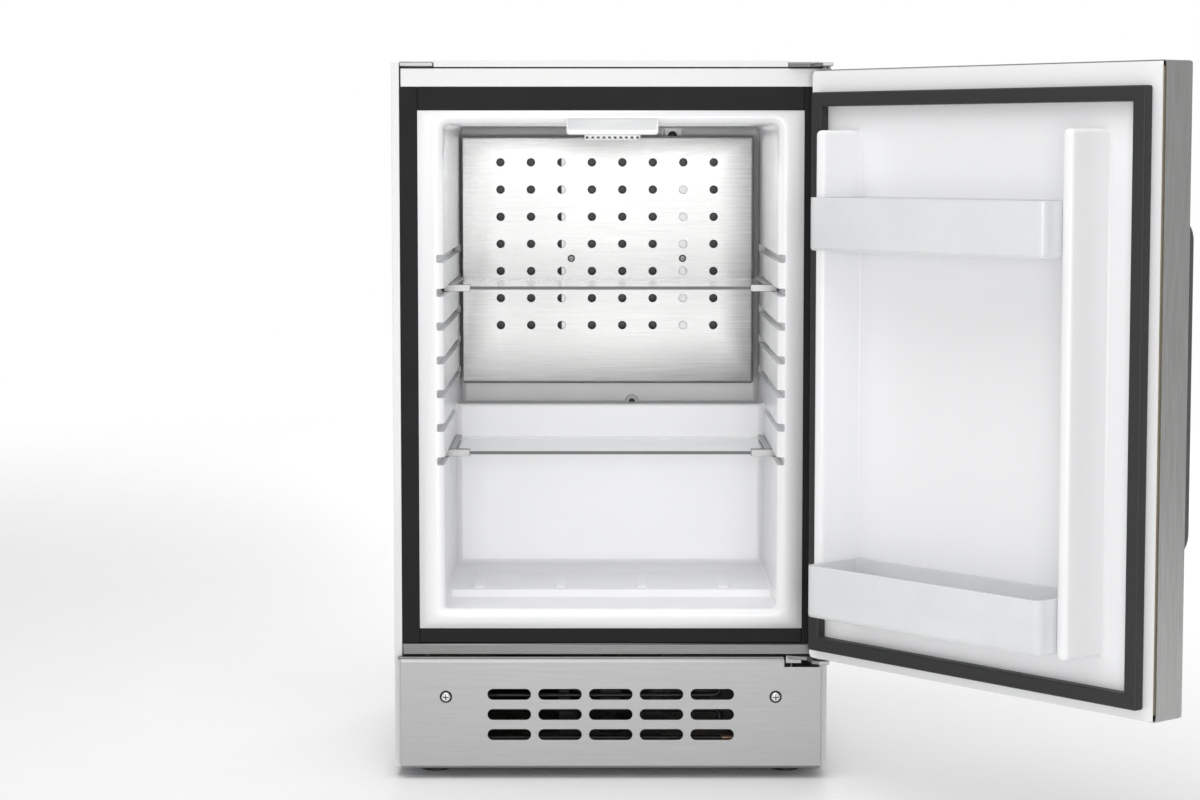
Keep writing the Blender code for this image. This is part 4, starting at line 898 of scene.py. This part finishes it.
bar = bmesh.new()
bmesh.ops.create_circle(bar, cap_ends=False, segments=24, radius=GRIP_RADIUS,
                        matrix=Matrix.Translation((GRIP_X, DOOR_FACE - 0.0003, GRIP_LOW))
                        @ Matrix.Rotation(pi / 2, 4, "X"))
bmesh.ops.contextual_create(bar, geom=bar.edges[:])
end = grow(bar, bar.faces[:][0], move=(0, GRIP_OUT + GRIP_BEND - DOOR_FACE, 0))
for _ in range(BEND_STEPS):
    end = grow(bar, end, turn=((GRIP_X, GRIP_OUT + GRIP_BEND, GRIP_LOW + GRIP_BEND), -pi / 2 / BEND_STEPS))
end = grow(bar, end, move=(0, 0, GRIP_HIGH - GRIP_LOW - 2 * GRIP_BEND))
for _ in range(BEND_STEPS):
    end = grow(bar, end, turn=((GRIP_X, GRIP_OUT + GRIP_BEND, GRIP_HIGH - GRIP_BEND), -pi / 2 / BEND_STEPS))
grow(bar, end, move=(0, DOOR_FACE - GRIP_OUT - GRIP_BEND - 0.0003, 0))
bmesh.ops.holes_fill(bar, edges=[edge for edge in bar.edges if edge.is_boundary])
bmesh.ops.recalc_face_normals(bar, faces=bar.faces)
brushed_bar = brushed("brushed_steel_handle", STEEL, 2, roughness=0.28)
make("door_pull", on_door(bar), brushed_bar, "door", ["door_handle"], smooth=50)
for name in ("top", "bottom"):
    make("pin_bush_" + name, cad_shape("hinge_bush_" + name), grey_plastic, "door",
         ["hinge_bush_" + name], smooth=50)

# Door bins. Clear polystyrene trays with round corners and a rolled rim, which lift off the dykes.
bin_plastic = Finish("clear_bin_plastic", Specular_IOR_Level=0.5)
flow = bin_plastic.noise(16.0, 3.0)
bin_plastic.coat(Base_Color=bin_plastic.blend(flow, (0.84, 0.85, 0.86), (0.90, 0.91, 0.92)),
                 Roughness=0.10 + 0.06 * flow, Alpha=0.62 + 0.08 * flow)
BIN_HALF, BIN_HEIGHT = 0.1694, 0.058


def bin_radius(middle, way):
    if middle.z > bin_top:
        return 0.0
    return 0.009 if abs(way.z) > 0.9 else 0.005


for level_name, z in (("upper", 0.6023), ("lower", 0.1982)):
    bin_top = z + BIN_HEIGHT - 1e-4
    tray = block((-BIN_HALF, DOOR_BACK + 0.0006, z), (BIN_HALF, FRONT + 0.070, z + BIN_HEIGHT))
    tray = softened(tray, bin_radius, 5)
    bmesh.ops.delete(tray, context="FACES", geom=[
        face for face in tray.faces if face.calc_center_median().z > bin_top])
    make("clear_bin_" + level_name, on_door(tray), bin_plastic.material, "bin_" + level_name,
         ["door_bin_" + level_name], wall=0.0024, edge=0.0007)

# Machine compartment. A black hermetic compressor on rubber feet, a plastic pan on top of it that
# the drain fills, a tube condenser, a shrouded fan, a drier and brazed copper pipes.
black_enamel = painted("black_enamel", (0.022, 0.022, 0.023), 0.34)
copper = brushed("drawn_copper", (0.72, 0.40, 0.27), 2, roughness=0.30, streak=0.7)
for name, node, finish, slot_name, edge in (
        ("hermetic_compressor", "compressor", black_enamel, "black_steel", 0.0006),
        ("melt_water_pan", "evaporation_pan", nylon, "black_plastic", 0.0007),
        ("condenser_tube", "condenser_coil", black_enamel, "black_steel", 0.0),
        ("fan_ring", "fan_shroud", nylon, "black_plastic", 0.0006),
        ("fan_motor_body", "fan_motor", black_enamel, "black_steel", 0.0005),
        ("drier", "filter_drier", copper, "copper", 0.0),
        ("hot_gas_pipe", "discharge_pipe", copper, "copper", 0.0),
        ("return_pipe", "suction_pipe", copper, "copper", 0.0)):
    make(name, cad_shape(node), finish, "cabinet", [node], edge=edge, smooth=50)
make("fan_rotor", cad_shape("fan_blade"), nylon, "fan", ["fan_blade"], edge=0.0004)

# Foam and lamp. Polyurethane foam fills the walls and the door where it can't be seen, and the
# small tube lamp lies in its housing; both keep their plain shapes.
foam = Finish("polyurethane_foam", Roughness=0.9)
cells = foam.add("ShaderNodeTexVoronoi", {}, {"Vector": foam.place(), "Scale": 900.0}, "Distance")
foam.coat(Base_Color=foam.blend(cells, (0.66, 0.56, 0.34), (0.80, 0.72, 0.50)))
foam.relief(cells, 0.0003, 0.6)
opal = moulded("opal_lamp", (0.92, 0.92, 0.90), 0.25)
core = block((-HALF + 0.006, DOOR_FACE + 0.002, DOOR_LOW + 0.006),
             (HALF - 0.016, DOOR_BACK - 0.003, DOOR_HIGH - 0.006))
make("door_foam_core", on_door(core), foam.material, "door", ["door_foam"], edge=0.002)
for node, finish in (("foam_insulation", foam.material), ("lamp", opal)):
    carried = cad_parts[node]
    for place in carried.material_slots:
        place.material = finish
